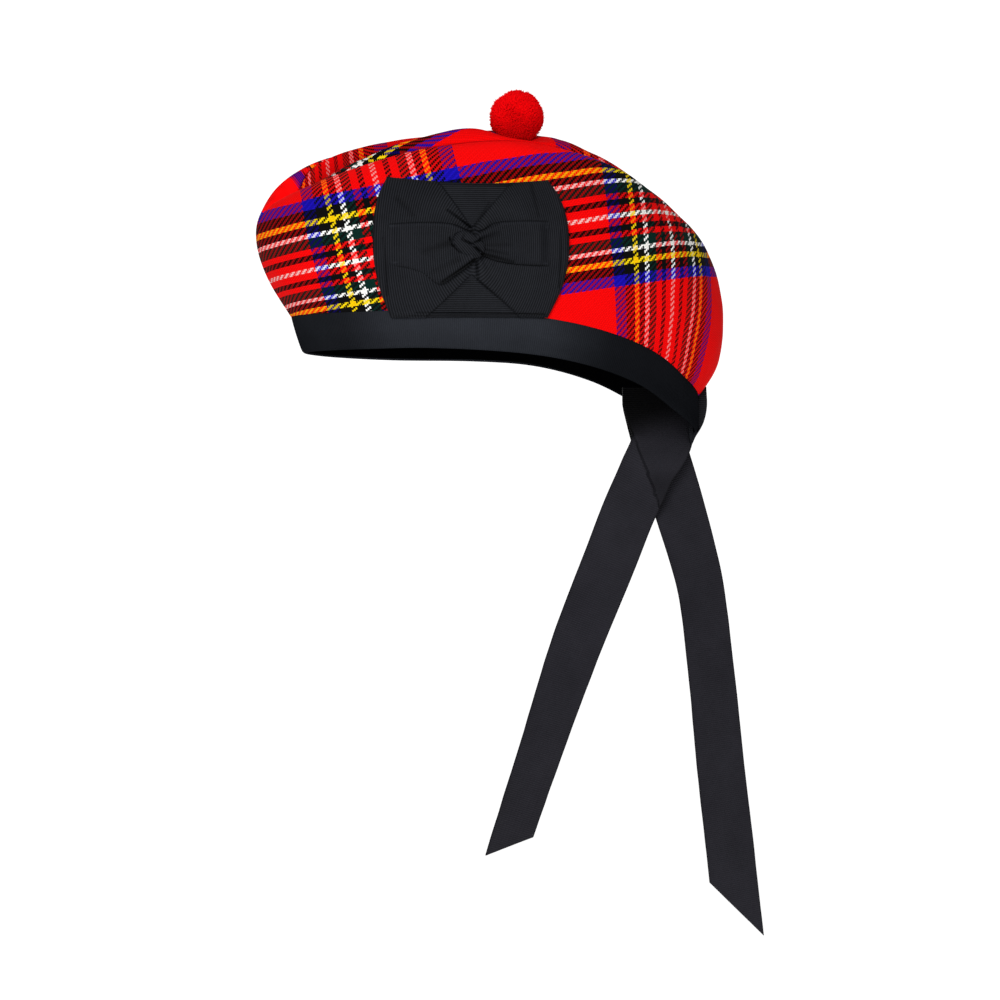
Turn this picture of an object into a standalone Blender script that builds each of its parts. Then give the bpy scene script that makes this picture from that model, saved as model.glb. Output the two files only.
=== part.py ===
"""Glengarry cap of tartan cloth, in its worn form.

Two side panels, a creased top panel, a bound band, a ribbon rosette on the wearer's left,
a wool pompom and two ribbon tails behind. Metres. +X runs to the back of the head, -Y to
the wearer's left and +Z up. The origin is the middle of the head opening, level with the
front of the rim.
"""

import math

import bmesh
import bpy
from mathutils import Vector
from mathutils.bvhtree import BVHTree

# Clearance between pieces that touch
GAP = 0.0003

# Band round the head opening, outside sizes at its lower edge
RIM_LENGTH = 0.207
RIM_WIDTH = 0.154
BACK_DROP = 0.0415
BAND_HEIGHT = 0.018
BAND_WALL = 0.0024
BAND_FLARE = 0.0057
# The rounded lower edge of the band: how far it hangs and where it leaves the faces, as
# shares of its height, and how far it lies in from each face, as a share of its wall
BAND_LIP = -0.02
BAND_ROUND = 0.04
BAND_LIP_IN = 0.25

# Cloth of the crown, with its lining
CLOTH = 0.0016

# Crown: heights are taken from the front of the rim
CROWN_HEIGHT = 0.1155
TOP_LENGTH = 0.196
TOP_WIDTH = 0.066
TOP_FRONT = 0.0045
TOP_LEAN = 0.006
RIDGE_RISE = 0.0085
CREASE_DEPTH = 0.020
# Shape across the top panel, where 1 is its seams: the place of the ridges, and how full
# the crease's slopes and the ridges are
RIDGE_AT = 0.78
CREASE_CURVE = 1.25
RIDGE_CURVE = 4
# Share of the top panel that ends short of each of its two tips
TOP_TIP = 0.02

# Rosette on the wearer's left
ROSETTE_LENGTH = 0.080
ROSETTE_HEIGHT = 0.070
ROSETTE_BULGE = 0.0085
ROSETTE_WAIST = 0.0035
ROSETTE_X = -0.0285
ROSETTE_Z = 0.048
ROSETTE_SEAT = 0.0006
RIBBON = 0.0012
ROSETTE_RELIEF = 0.0026
# Half the spread of one fold, in degrees, and how far out the folds reach, where 1 is the edge
ROSETTE_FOLD_SPREAD = 15.0
ROSETTE_FOLD_REACH = 1.6
LAYER_REACH = 0.0028
LAYER_GAP = 0.0006
BOW_LENGTH = 0.084
BOW_HEIGHT = 0.030
BOW_PINCH = 0.010
BOW_RELIEF = 0.0030
# Half the spread of one fold as a share of the bow's height, how much the folds flatten
# towards the ends, where the bow is widest and how much it narrows from there
BOW_FOLD_SPREAD = 0.38
BOW_FLATTEN = 0.75
BOW_WIDEST = 0.45
BOW_NARROW = 0.30
KNOT_LENGTH = 0.020
KNOT_HEIGHT = 0.015
KNOT_RISE = 0.0045
# How much the knot's corners are rounded off, and the share of its rise that its twist makes
KNOT_ROUND = 0.5
KNOT_TWIST = 0.35

# Pompom
POMPOM_DIAMETER = 0.028
POMPOM_X = 0.0055
POMPOM_Y = -0.014
POMPOM_HEIGHT = 0.121
LOCK_LENGTH = 0.0016
# A lock's tip as a share of its root, how much the lengths vary, and how fast they do
LOCK_TAPER = 0.55
LOCK_VARIES = 0.35
LOCK_TURN = 2.4
# The dent that the pompom's stitches pull in the top panel
DENT_DEPTH = 0.0062
DENT_LENGTH = 0.0134
DENT_WIDTH = 0.0182
DENT_Y = -0.0196

# Ribbon tie over the band at the back
TIE_WIDTH = 0.026
TIE_THICKNESS = 0.0020
TIE_HANG = 0.0065

# Tails
TAIL_WIDTH = 0.029
TAIL_TOP = 0.016
TAIL_THICKNESS = 0.0010
TAIL_LEFT_FALL = 0.2315
TAIL_RIGHT_FALL = 0.2665
TAIL_LEFT_CUT = 0.0155
TAIL_RIGHT_CUT = 0.0335
TAIL_CUT_FROM = 0.8
TAIL_APART = 0.0045

# Mesh divisions
PANEL_COLUMNS = 28
PANEL_ROWS = 11
TOP_COLUMNS = 32
TOP_ROWS = 13
BAND_COLUMNS = 60
ROSETTE_COLUMNS = 22
ROSETTE_ROWS = 16
BOW_ROWS = 10
KNOT_COLUMNS = 10
KNOT_ROWS = 8
POMPOM_FINENESS = 3
SEAT_TURNS = 16
SEAT_RINGS = 8
TAIL_ROWS = 26
TAIL_COLUMNS = 4
TIE_COLUMNS = 6

# Share of a curve's length over which its direction is read
STEP = 0.01
# Faces that meet more sharply than this are shaded apart
SHARP = math.radians(50)


def table(names, *rows):
    """Columns by name, from rows of numbers."""
    return {name: [row[i] for row in rows] for i, name in enumerate(names.split())}


# Each side, from the front seam to the back seam. round is the share of the way round.
# left_drop and right_drop are shares of BACK_DROP, top_x of TOP_LENGTH, top_y of half of
# TOP_WIDTH, the rest of CROWN_HEIGHT: the two ridge seams' heights, and how the wall
# leaves the band (low_out, low_rise) and comes into the ridge seam (high_out, high_fall).
SIDES = table(
    "round left_drop right_drop top_x top_y left_z right_z low_out low_rise high_out high_fall",
    (0.00, 0.00, 0.00, 0.000, 0.00, 0.685, 0.685, 0.155, 0.20, 0.292, 0.040),
    (0.10, 0.00, 0.00, 0.046, 0.30, 0.733, 0.823, 0.165, 0.21, 0.300, 0.045),
    (0.22, 0.00, 0.01, 0.143, 0.64, 0.800, 0.900, 0.155, 0.23, 0.335, 0.065),
    (0.35, 0.00, 0.02, 0.306, 0.90, 0.882, 0.926, 0.130, 0.24, 0.368, 0.080),
    (0.50, 0.07, 0.02, 0.520, 1.00, 0.924, 0.924, 0.105, 0.26, 0.400, 0.088),
    (0.60, 0.20, 0.08, 0.660, 0.96, 0.900, 0.900, 0.110, 0.26, 0.386, 0.088),
    (0.70, 0.42, 0.28, 0.790, 0.83, 0.840, 0.840, 0.135, 0.25, 0.350, 0.095),
    (0.80, 0.73, 0.60, 0.885, 0.60, 0.767, 0.767, 0.172, 0.24, 0.300, 0.115),
    (0.90, 0.92, 0.88, 0.960, 0.30, 0.703, 0.703, 0.215, 0.23, 0.268, 0.140),
    (1.00, 1.00, 1.00, 1.000, 0.00, 0.667, 0.667, 0.225, 0.27, 0.264, 0.158),
)

# Top panel, from front to back: how deep the crease is, as a share of CREASE_DEPTH, and
# how high the ridges stand over their seams, as a share of RIDGE_RISE.
CREASE = table(
    "along depth ridge",
    (0.00, 0.00, 0.00),
    (0.06, 0.45, 0.04),
    (0.16, 0.95, 0.42),
    (0.28, 1.00, 0.98),
    (0.38, 0.70, 1.26),
    (0.48, 0.25, 1.24),
    (0.58, 0.05, 1.15),
    (0.75, 0.00, 0.75),
    (0.90, 0.00, 0.40),
    (1.00, 0.00, 0.15),
)

# Folds that run out from the knot over the rosette: direction in degrees from the back of
# the cap, and height as a share of ROSETTE_RELIEF.
ROSETTE_FOLDS = table(
    "turn height",
    (-34.0, 1.0),
    (18.0, 0.5),
    (44.0, 1.0),
    (74.0, 0.6),
    (106.0, 0.7),
    (140.0, 1.0),
    (166.0, 0.5),
    (214.0, 1.0),
    (240.0, 0.5),
    (272.0, 0.7),
    (300.0, 0.6),
)

# Folds along the bow: place across it from its lower to its upper edge, and height as a
# share of BOW_RELIEF.
BOW_FOLDS = table(
    "across height",
    (-0.70, 0.6),
    (-0.15, 1.0),
    (0.45, 0.8),
    (0.85, 0.5),
)

# The tie, from its inner end round the band's lower edge to its outer end. height is a share
# of BAND_HEIGHT and depth of BAND_WALL, 1 on the band's inner face. The tie's outer face
# stands off by out, in shares of TIE_THICKNESS, and hangs by down, a share of TIE_HANG.
TIE = table(
    "height depth out down",
    (0.90, 1.0, -1.0, 0.0),
    (BAND_LIP, 1.0, -1.0, 0.1),
    (BAND_LIP, 0.5, -1.0, 1.0),
    (BAND_LIP, 0.0, -0.5, 0.3),
    (0.22, 0.0, 1.3, 0.0),
    (0.60, 0.0, 2.2, 0.0),
    (1.00, 0.0, 1.8, 0.0),
)

# Tails, from the tie down. down is a share of the tail's fall; ahead is how far the middle
# of the ribbon lies in front of the tie, as a share of that fall; side is the share of
# TAIL_APART to the right; turn is the ribbon's twist in degrees.
TAIL_LEFT = table(
    "down ahead side turn",
    (0.00, 0.066, -1.0, 2.0),
    (0.08, 0.067, -1.0, 2.0),
    (0.16, 0.090, -1.0, 3.0),
    (0.25, 0.131, -0.9, 4.0),
    (0.36, 0.176, -0.6, 6.0),
    (0.54, 0.249, 0.2, 14.0),
    (0.76, 0.323, 1.0, 27.0),
    (1.00, 0.402, 1.4, 35.0),
)
TAIL_RIGHT = table(
    "down ahead side turn",
    (0.00, 0.070, 1.0, 3.0),
    (0.07, 0.059, 1.0, 5.0),
    (0.19, 0.014, 1.0, 10.0),
    (0.31, -0.020, 0.8, 18.0),
    (0.39, -0.037, 0.6, 21.0),
    (0.55, -0.055, 0.3, 20.0),
    (0.73, -0.073, 0.2, 18.0),
    (1.00, -0.106, 0.6, 16.0),
)

LEFT = -1
RIGHT = 1

# Colour, roughness and metallic value of each finish
FINISHES = {
    "tartan": ((0.75, 0.02, 0.03, 1.0), 0.85, 0.0),
    "binding": ((0.018, 0.021, 0.026, 1.0), 0.55, 0.0),
    "grosgrain": ((0.020, 0.022, 0.026, 1.0), 0.50, 0.0),
    "wool": ((0.80, 0.02, 0.03, 1.0), 0.95, 0.0),
}


def clear_scene():
    """Removes whatever the scene holds."""
    for old in list(bpy.data.objects):
        bpy.data.objects.remove(old, do_unlink=True)


def read(rows, key, at, name):
    """A column's value at a place, on a smooth curve through its rows."""
    keys = rows[key]
    values = rows[name]
    at = min(max(at, keys[0]), keys[-1])
    i = 0
    while i < len(keys) - 2 and at > keys[i + 1]:
        i += 1

    def slope(j):
        before = max(j - 1, 0)
        after = min(j + 1, len(keys) - 1)
        return (values[after] - values[before]) / (keys[after] - keys[before])

    span = keys[i + 1] - keys[i]
    t = (at - keys[i]) / span
    start = (2 * t**3 - 3 * t**2 + 1) * values[i]
    end = (3 * t**2 - 2 * t**3) * values[i + 1]
    leave = (t**3 - 2 * t**2 + t) * span * slope(i)
    arrive = (t**3 - t**2) * span * slope(i + 1)
    return start + end + leave + arrive


def finish(name, colour_name):
    """A material of the object's own."""
    colour, roughness, metallic = FINISHES[colour_name]
    material = bpy.data.materials.new(name)
    material.use_nodes = True
    shader = material.node_tree.nodes["Principled BSDF"]
    shader.inputs["Base Color"].default_value = colour
    shader.inputs["Roughness"].default_value = roughness
    shader.inputs["Metallic"].default_value = metallic
    material.diffuse_color = colour
    return material


def add_object(name, mesh_data, colour_name, parent):
    """Puts a bmesh into the scene as a named object with its own material."""
    bmesh.ops.recalc_face_normals(mesh_data, faces=mesh_data.faces)
    mesh = bpy.data.meshes.new(name)
    mesh_data.to_mesh(mesh)
    mesh_data.free()
    mesh.materials.append(finish(name, colour_name))
    mesh.shade_smooth()
    mesh.set_sharp_from_angle(angle=SHARP)
    made = bpy.data.objects.new(name, mesh)
    bpy.context.collection.objects.link(made)
    made.parent = parent
    return made


def bridge(mesh_data, first, second, closed=False):
    """Quads between two rows of vertices."""
    count = len(first)
    for i in range(count if closed else count - 1):
        j = (i + 1) % count
        mesh_data.faces.new((first[i], first[j], second[j], second[i]))


def sheet_solid(front, back):
    """A closed wall between two grids of points, front and back, of the same shape."""
    mesh_data = bmesh.new()
    faces = [[[mesh_data.verts.new(p) for p in row] for row in grid] for grid in (front, back)]
    for grid in faces:
        for low, high in zip(grid, grid[1:]):
            bridge(mesh_data, low, high)
    for end in (0, -1):
        bridge(mesh_data, faces[0][end], faces[1][end])
        front_end = [row[end] for row in faces[0]]
        back_end = [row[end] for row in faces[1]]
        bridge(mesh_data, front_end, back_end)
    return mesh_data


def grid_normals(grid):
    """The unit normal at each point of a grid, from its neighbours."""
    normals = []
    for i, row in enumerate(grid):
        line = []
        for j, point in enumerate(row):
            along = row[min(j + 1, len(row) - 1)] - row[max(j - 1, 0)]
            up = grid[min(i + 1, len(grid) - 1)][j] - grid[max(i - 1, 0)][j]
            line.append(along.cross(up).normalized())
        normals.append(line)
    return normals


def plan_normal(share, side):
    """The outward direction at a place round the rim, seen from above."""
    turn = math.pi * share
    across = Vector((-math.cos(turn) / RIM_LENGTH, side * math.sin(turn) / RIM_WIDTH, 0))
    return across.normalized()


def rim_point(share, side, inset=0.0):
    """A point on the rim's lower outer edge; share runs from the front to the back."""
    turn = math.pi * share
    column = "left_drop" if side == LEFT else "right_drop"
    drop = BACK_DROP * read(SIDES, "round", share, column)
    x = -math.cos(turn) * RIM_LENGTH / 2
    y = side * math.sin(turn) * RIM_WIDTH / 2
    return Vector((x, y, -drop)) - plan_normal(share, side) * inset


def band_up(share, side):
    """The direction across the band's ribbon, from its lower to its upper edge."""
    before = rim_point(max(share - STEP, 0.0), side)
    after = rim_point(min(share + STEP, 1.0), side)
    along = (after - before).normalized()
    up = Vector((0, 0, 1)) - along * along.z
    if share in (0.0, 1.0):
        up.y = 0.0
    return up.normalized()


def band_flare(share):
    """How far the band's upper edge leans out."""
    return BAND_FLARE * (1 + math.cos(math.pi * share)) / 2


def band_point(share, side, height, inset=0.0):
    """A point on the band at a share of its height; inset goes into its wall."""
    low = rim_point(share, side, inset)
    up = band_up(share, side) * BAND_HEIGHT * height
    return low + up + plan_normal(share, side) * band_flare(share) * height


def ridge_seam(share, side):
    """A point where a side panel meets the top panel."""
    x = -RIM_LENGTH / 2 - TOP_FRONT + TOP_LENGTH * read(SIDES, "round", share, "top_x")
    width = read(SIDES, "round", share, "top_y")
    column = "left_z" if side == LEFT else "right_z"
    z = CROWN_HEIGHT * read(SIDES, "round", share, column)
    return Vector((x, side * width * TOP_WIDTH / 2 - TOP_LEAN * width, z))


def side_point(share, side, height):
    """A point on the outer face of a side panel; height runs from the band to the seam."""
    out = plan_normal(share, side)
    up = Vector((0, 0, 1))
    size = {
        name: CROWN_HEIGHT * read(SIDES, "round", share, name)
        for name in ("low_out", "low_rise", "high_out", "high_fall")
    }
    low = band_point(share, side, 1.0) + band_up(share, side) * GAP
    high = ridge_seam(share, side)
    low_pull = low + out * size["low_out"] + up * size["low_rise"]
    high_pull = high + out * size["high_out"] - up * size["high_fall"]
    rest = 1 - height
    point = low * rest**3 + low_pull * 3 * height * rest**2
    point += high_pull * 3 * height**2 * rest + high * height**3
    return point + Vector((0, side * GAP / 2, 0))


def side_panel(name, side, parent):
    """One cloth side of the crown."""
    shares = [i / (PANEL_COLUMNS - 1) for i in range(PANEL_COLUMNS)]
    heights = [i / (PANEL_ROWS - 1) for i in range(PANEL_ROWS)]
    outer = [[side_point(share, side, height) for share in shares] for height in heights]
    inner = []
    for row, normals in zip(outer, grid_normals(outer)):
        line = []
        for j, (point, normal) in enumerate(zip(row, normals)):
            if j in (0, len(row) - 1):
                normal = Vector((normal.x, 0, normal.z)).normalized()
            line.append(point + normal * side * CLOTH)
        inner.append(line)
    return add_object(name, sheet_solid(outer, inner), "tartan", parent)


def dent(point):
    """How far the pompom's stitches pull the top panel down at a point."""
    near_x = (point.x - POMPOM_X) / DENT_LENGTH
    near_y = (point.y - DENT_Y) / DENT_WIDTH
    return DENT_DEPTH * math.exp(-(near_x**2) - near_y**2)


def top_point(share, across):
    """A point on the top panel; across runs from -1 at the left seam to 1 at the right."""
    left = ridge_seam(share, LEFT)
    right = ridge_seam(share, RIGHT)
    along = read(SIDES, "round", share, "top_x")
    middle = (left + right) / 2
    point = middle + (right - left) * across / 2
    point.y -= math.copysign(GAP, across) * abs(across)
    rise = RIDGE_RISE * read(CREASE, "along", along, "ridge")
    depth = CREASE_DEPTH * read(CREASE, "along", along, "depth")
    arch = 1 - abs(across) ** RIDGE_CURVE
    point.z += rise * arch
    point.z -= depth * max(0.0, 1 - abs(across) / RIDGE_AT) ** CREASE_CURVE
    point.z -= dent(point) * arch
    return point


def top_panel(name, parent):
    """The long panel with a crease along its middle."""
    length = 1 - 2 * TOP_TIP
    shares = [TOP_TIP + length * i / (TOP_COLUMNS - 1) for i in range(TOP_COLUMNS)]
    across = [math.sin(math.pi / 2 * (2 * i / (TOP_ROWS - 1) - 1)) for i in range(TOP_ROWS)]
    outer = [[top_point(share, place) for share in shares] for place in across]
    inner = []
    for row, normals in zip(outer, grid_normals(outer)):
        inner.append([point - normal * CLOTH for point, normal in zip(row, normals)])
    return add_object(name, sheet_solid(outer, inner), "tartan", parent)


def band(name, parent):
    """The ribbon binding round the head opening."""
    section = (
        (BAND_LIP, BAND_LIP_IN),
        (BAND_ROUND, 0.0),
        (0.5, 0.0),
        (1.0, 0.0),
        (1.0, 1.0),
        (0.5, 1.0),
        (BAND_ROUND, 1.0),
        (BAND_LIP, 1 - BAND_LIP_IN),
    )
    rings = []
    for height, depth in section:
        ring = []
        for i in range(BAND_COLUMNS):
            place = 2 * i / BAND_COLUMNS
            side = LEFT if place <= 1 else RIGHT
            share = place if place <= 1 else 2 - place
            ring.append(band_point(share, side, height, depth * BAND_WALL))
        rings.append(ring)
    mesh_data = bmesh.new()
    loops = [[mesh_data.verts.new(p) for p in ring] for ring in rings]
    for low, high in zip(loops, loops[1:] + loops[:1]):
        bridge(mesh_data, low, high, True)
    return add_object(name, mesh_data, "binding", parent)


def face_finder(*pieces):
    """A ray finder on the faces of the given objects."""
    mesh_data = bmesh.new()
    for made in pieces:
        mesh_data.from_mesh(made.data)
    tree = BVHTree.FromBMesh(mesh_data)
    mesh_data.free()
    return tree


def on_crown(tree, x, z, lift):
    """The point in front of the crown's left side at a place, lifted off its face.

    It looks just above and just below too, so that it never looks in through the gap
    between the band and the cloth."""
    starts = [Vector((x, -RIM_WIDTH, z + step)) for step in (-2 * GAP, 0.0, 2 * GAP)]
    hits = [tree.ray_cast(start, Vector((0, 1, 0)))[0] for start in starts]
    return Vector((x, min(hit.y for hit in hits if hit) - lift, z))


def bump(distance, width):
    """A smooth rise of 1 at no distance, falling to 0 at the width."""
    return math.cos(math.pi / 2 * min(abs(distance) / width, 1.0)) ** 2


def rosette_lift(along, up):
    """How far the rosette's face stands off the crown."""
    reach = math.hypot(along / (ROSETTE_LENGTH / 2), up / (ROSETTE_HEIGHT / 2))
    turn = math.degrees(math.atan2(up, along))
    relief = 0.0
    for fold, height in zip(ROSETTE_FOLDS["turn"], ROSETTE_FOLDS["height"]):
        away = (turn - fold + 180) % 360 - 180
        relief = max(relief, height * bump(away, ROSETTE_FOLD_SPREAD))
    pull = min(reach, 1.0) * max(0.0, ROSETTE_FOLD_REACH - reach)
    return ROSETTE_SEAT + 2 * RIBBON + ROSETTE_RELIEF * relief * pull


def clear_of(lift, along, up):
    """A lift that clears another layer's face at a place and all round it."""
    steps = (-LAYER_REACH, 0.0, LAYER_REACH)
    return LAYER_GAP + max(lift(along + p, up + q) for p in steps for q in steps)


def bow_lift(along, up):
    """How far the bow's face stands off the crown."""
    under = clear_of(rosette_lift, along, up)
    half = bow_half_height(along)
    relief = 0.0
    for fold, height in zip(BOW_FOLDS["across"], BOW_FOLDS["height"]):
        relief = max(relief, height * bump(up / half - fold, BOW_FOLD_SPREAD))
    end = abs(along) / (BOW_LENGTH / 2)
    return under + RIBBON + BOW_RELIEF * relief * (1 - BOW_FLATTEN * end)


def bow_half_height(along):
    """Half of the bow's height at a distance from the knot."""
    end = min(abs(along) / (BOW_LENGTH / 2), 1.0)
    spread = math.sin(math.pi / 2 * min(end / BOW_WIDEST, 1.0))
    spread -= BOW_NARROW * max(0.0, end - BOW_WIDEST) / (1 - BOW_WIDEST)
    return (BOW_PINCH + (BOW_HEIGHT - BOW_PINCH) * spread) / 2


def crown_pad(outline, back, front, across, up, tree):
    """A solid that lies on the left side panel, between two lifts off its face."""
    grids = ([], [])
    for i in range(up + 1):
        b = 2 * i / up - 1
        rows = ([], [])
        for j in range(across + 1):
            a = 2 * j / across - 1
            p, q = outline(a, b)
            for row, lift in zip(rows, (front, back)):
                row.append(on_crown(tree, ROSETTE_X + p, ROSETTE_Z + q, lift(p, q)))
        grids[0].append(rows[0])
        grids[1].append(rows[1])
    return sheet_solid(grids[0], grids[1])


def rosette_base(name, tree, parent):
    """The square of folded ribbon, drawn in along its top and full at its sides."""

    def outline(a, b):
        p = a * (ROSETTE_LENGTH / 2 + ROSETTE_BULGE * (1 - b**2))
        waist = ROSETTE_WAIST * (1 - a**2) * max(b, 0.0)
        return p, b * ROSETTE_HEIGHT / 2 - waist

    def back(p, q):
        return ROSETTE_SEAT

    pad = crown_pad(outline, back, rosette_lift, ROSETTE_COLUMNS, ROSETTE_ROWS, tree)
    return add_object(name, pad, "grosgrain", parent)


def rosette_bow(name, tree, parent):
    """The wide ribbon across the rosette, gathered in at the knot."""

    def outline(a, b):
        p = a * BOW_LENGTH / 2
        return p, b * bow_half_height(p)

    def back(p, q):
        return clear_of(rosette_lift, p, q)

    pad = crown_pad(outline, back, bow_lift, ROSETTE_COLUMNS, BOW_ROWS, tree)
    return add_object(name, pad, "grosgrain", parent)


def rosette_knot(name, tree, parent):
    """The twisted ribbon that gathers the bow."""

    def outline(a, b):
        p = a * math.sqrt(1 - KNOT_ROUND * b**2) * KNOT_LENGTH / 2
        return p, b * math.sqrt(1 - KNOT_ROUND * a**2) * KNOT_HEIGHT / 2

    def back(p, q):
        return clear_of(bow_lift, p, q)

    def front(p, q):
        reach = min(1.0, math.hypot(p / (KNOT_LENGTH / 2), q / (KNOT_HEIGHT / 2)))
        twist = (1 + math.cos(math.pi * 2 * (p / KNOT_LENGTH + q / KNOT_HEIGHT))) / 2
        dome = math.sqrt(max(0.0, 1 - reach**2))
        return back(p, q) + RIBBON + KNOT_RISE * dome * (1 - KNOT_TWIST * (1 - twist))

    pad = crown_pad(outline, back, front, KNOT_COLUMNS, KNOT_ROWS, tree)
    return add_object(name, pad, "grosgrain", parent)


def pompom_seat(centre, tree):
    """The height of the pompom's flat base, just over the highest cloth that it reaches."""
    radius = POMPOM_DIAMETER / 2
    seat = centre.z - radius
    for i in range(SEAT_TURNS):
        turn = 2 * math.pi * i / SEAT_TURNS
        for j in range(SEAT_RINGS):
            reach = radius * j / SEAT_RINGS
            above = centre + Vector((math.cos(turn) * reach, math.sin(turn) * reach, 0))
            cloth = tree.ray_cast(above, Vector((0, 0, -1)))[0].z + 2 * GAP
            if cloth > centre.z - math.sqrt(radius**2 - reach**2):
                seat = max(seat, cloth)
    return seat


def pompom(name, tree, parent):
    """The wool ball: a head with a short lock standing on each face, cut flat below."""
    mesh_data = bmesh.new()
    radius = POMPOM_DIAMETER / 2 - LOCK_LENGTH
    bmesh.ops.create_icosphere(mesh_data, subdivisions=POMPOM_FINENESS, radius=radius)
    locks = bmesh.ops.extrude_discrete_faces(mesh_data, faces=list(mesh_data.faces))["faces"]
    for i, face in enumerate(locks):
        middle = face.calc_center_median()
        longer = LOCK_LENGTH * (1 + LOCK_VARIES * math.sin(LOCK_TURN * i))
        for vert in face.verts:
            vert.co = middle + (vert.co - middle) * LOCK_TAPER + middle.normalized() * longer
    centre = Vector((POMPOM_X, POMPOM_Y, POMPOM_HEIGHT))
    bmesh.ops.translate(mesh_data, vec=centre, verts=mesh_data.verts)
    seat = pompom_seat(centre, tree)
    cut = bmesh.ops.bisect_plane(
        mesh_data,
        geom=mesh_data.verts[:] + mesh_data.edges[:] + mesh_data.faces[:],
        plane_co=Vector((0, 0, seat)),
        plane_no=Vector((0, 0, -1)),
        clear_outer=True,
    )
    rim = [part for part in cut["geom_cut"] if isinstance(part, bmesh.types.BMEdge)]
    bmesh.ops.contextual_create(mesh_data, geom=rim)
    return add_object(name, mesh_data, "wool", parent)


def back_tie(name, parent):
    """Ribbon folded round the band's lower edge at the back seam, padded outside."""
    front = []
    rear = []
    for height, depth, out, down in zip(*(TIE[key] for key in ("height", "depth", "out", "down"))):
        clear = GAP * (2 * depth - 1)
        below = 2 * GAP / BAND_HEIGHT if height < 0 else 0.0
        touching = []
        facing = []
        for i in range(TIE_COLUMNS + 1):
            y = TIE_WIDTH * (i / TIE_COLUMNS - 0.5)
            side = LEFT if y < 0 else RIGHT
            share = 1 - math.asin(abs(y) / (RIM_WIDTH / 2)) / math.pi
            point = band_point(share, side, height - below, depth * BAND_WALL + clear)
            reach = plan_normal(share, side) * out * TIE_THICKNESS
            reach -= Vector((0, 0, down * TIE_HANG))
            touching.append(point)
            facing.append(point + reach)
        front.append(touching)
        rear.append(facing)
    return add_object(name, sheet_solid(front, rear), "grosgrain", parent)


def tail_middle(rows, length, down):
    """A point on the middle line of a tail."""
    inner_x = RIM_LENGTH / 2 - BAND_WALL - 3 * GAP - TIE_THICKNESS
    x = inner_x - length * read(rows, "down", down, "ahead")
    y = TAIL_APART * read(rows, "down", down, "side")
    top = TAIL_TOP - BACK_DROP
    return Vector((x, y, top - length * down))


def tail_point(rows, length, cut, down, across):
    """A point on a tail's right face and the direction out of its left face."""
    before = tail_middle(rows, length, max(down - STEP, 0.0))
    after = tail_middle(rows, length, min(down + STEP, 1.0))
    along = (after - before).normalized()
    turn = math.radians(read(rows, "down", down, "turn"))
    facing = Vector((math.sin(turn), -math.cos(turn), 0))
    wide = facing.cross(along).normalized()
    longer = cut * across * max(0.0, (down - TAIL_CUT_FROM) / (1 - TAIL_CUT_FROM))
    point = tail_middle(rows, length, down) + wide * across * TAIL_WIDTH + along * longer
    return point, along.cross(wide).normalized()


def tail(name, rows, length, cut, parent):
    """A hanging ribbon; cut is how much longer its back edge is than its front edge."""
    front = []
    rear = []
    for i in range(TAIL_ROWS):
        down = i / (TAIL_ROWS - 1)
        places = [j / TAIL_COLUMNS - 0.5 for j in range(TAIL_COLUMNS + 1)]
        points = [tail_point(rows, length, cut, down, place) for place in places]
        front.append([point for point, _ in points])
        rear.append([point + normal * TAIL_THICKNESS for point, normal in points])
    return add_object(name, sheet_solid(front, rear), "grosgrain", parent)


def main():
    clear_scene()
    cap = bpy.data.objects.new("glengarry", None)
    bpy.context.collection.objects.link(cap)
    left = side_panel("side_panel_left", LEFT, cap)
    side_panel("side_panel_right", RIGHT, cap)
    top = top_panel("top_panel", cap)
    binding = band("band", cap)
    crown_side = face_finder(left, binding)
    rosette_base("rosette_base", crown_side, cap)
    rosette_bow("rosette_bow", crown_side, cap)
    rosette_knot("rosette_knot", crown_side, cap)
    pompom("pompom", face_finder(top), cap)
    back_tie("back_tie", cap)
    tail("tail_left", TAIL_LEFT, TAIL_LEFT_FALL, -TAIL_LEFT_CUT, cap)
    tail("tail_right", TAIL_RIGHT, TAIL_RIGHT_FALL, TAIL_RIGHT_CUT, cap)


main()
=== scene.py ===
"""Glengarry cap, dressed: tartan cloth, lining, ribbon band, rosette, wool pompom and tails."""
import math

import bmesh
import bpy
import numpy as np
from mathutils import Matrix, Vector, noise
from mathutils.bvhtree import BVHTree


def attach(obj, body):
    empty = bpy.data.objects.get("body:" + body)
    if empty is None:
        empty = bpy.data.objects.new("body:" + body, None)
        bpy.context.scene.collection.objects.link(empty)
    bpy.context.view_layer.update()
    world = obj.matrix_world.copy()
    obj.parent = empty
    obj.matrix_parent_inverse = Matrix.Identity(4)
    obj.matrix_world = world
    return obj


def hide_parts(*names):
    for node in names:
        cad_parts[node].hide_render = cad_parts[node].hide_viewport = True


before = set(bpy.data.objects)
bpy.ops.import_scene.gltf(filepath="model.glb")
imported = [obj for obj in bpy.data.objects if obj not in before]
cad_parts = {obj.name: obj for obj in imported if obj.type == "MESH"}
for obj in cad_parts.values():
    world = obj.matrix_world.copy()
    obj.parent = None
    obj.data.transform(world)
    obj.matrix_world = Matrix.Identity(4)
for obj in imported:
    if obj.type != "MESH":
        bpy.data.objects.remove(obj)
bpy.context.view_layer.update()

# Band round the head opening
RIM_LENGTH = 0.207
RIM_WIDTH = 0.154
BACK_DROP = 0.0415
BAND_HEIGHT = 0.018
BAND_WALL = 0.0024
BAND_FLARE = 0.0057

# Crown
CLOTH = 0.0016
CROWN_HEIGHT = 0.1155
TOP_LENGTH = 0.196
TOP_WIDTH = 0.066
TOP_FRONT = 0.0045
TOP_LEAN = 0.006
RIDGE_RISE = 0.0085
CREASE_DEPTH = 0.020
RIDGE_AT = 0.78
CREASE_CURVE = 1.25
RIDGE_CURVE = 4
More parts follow.
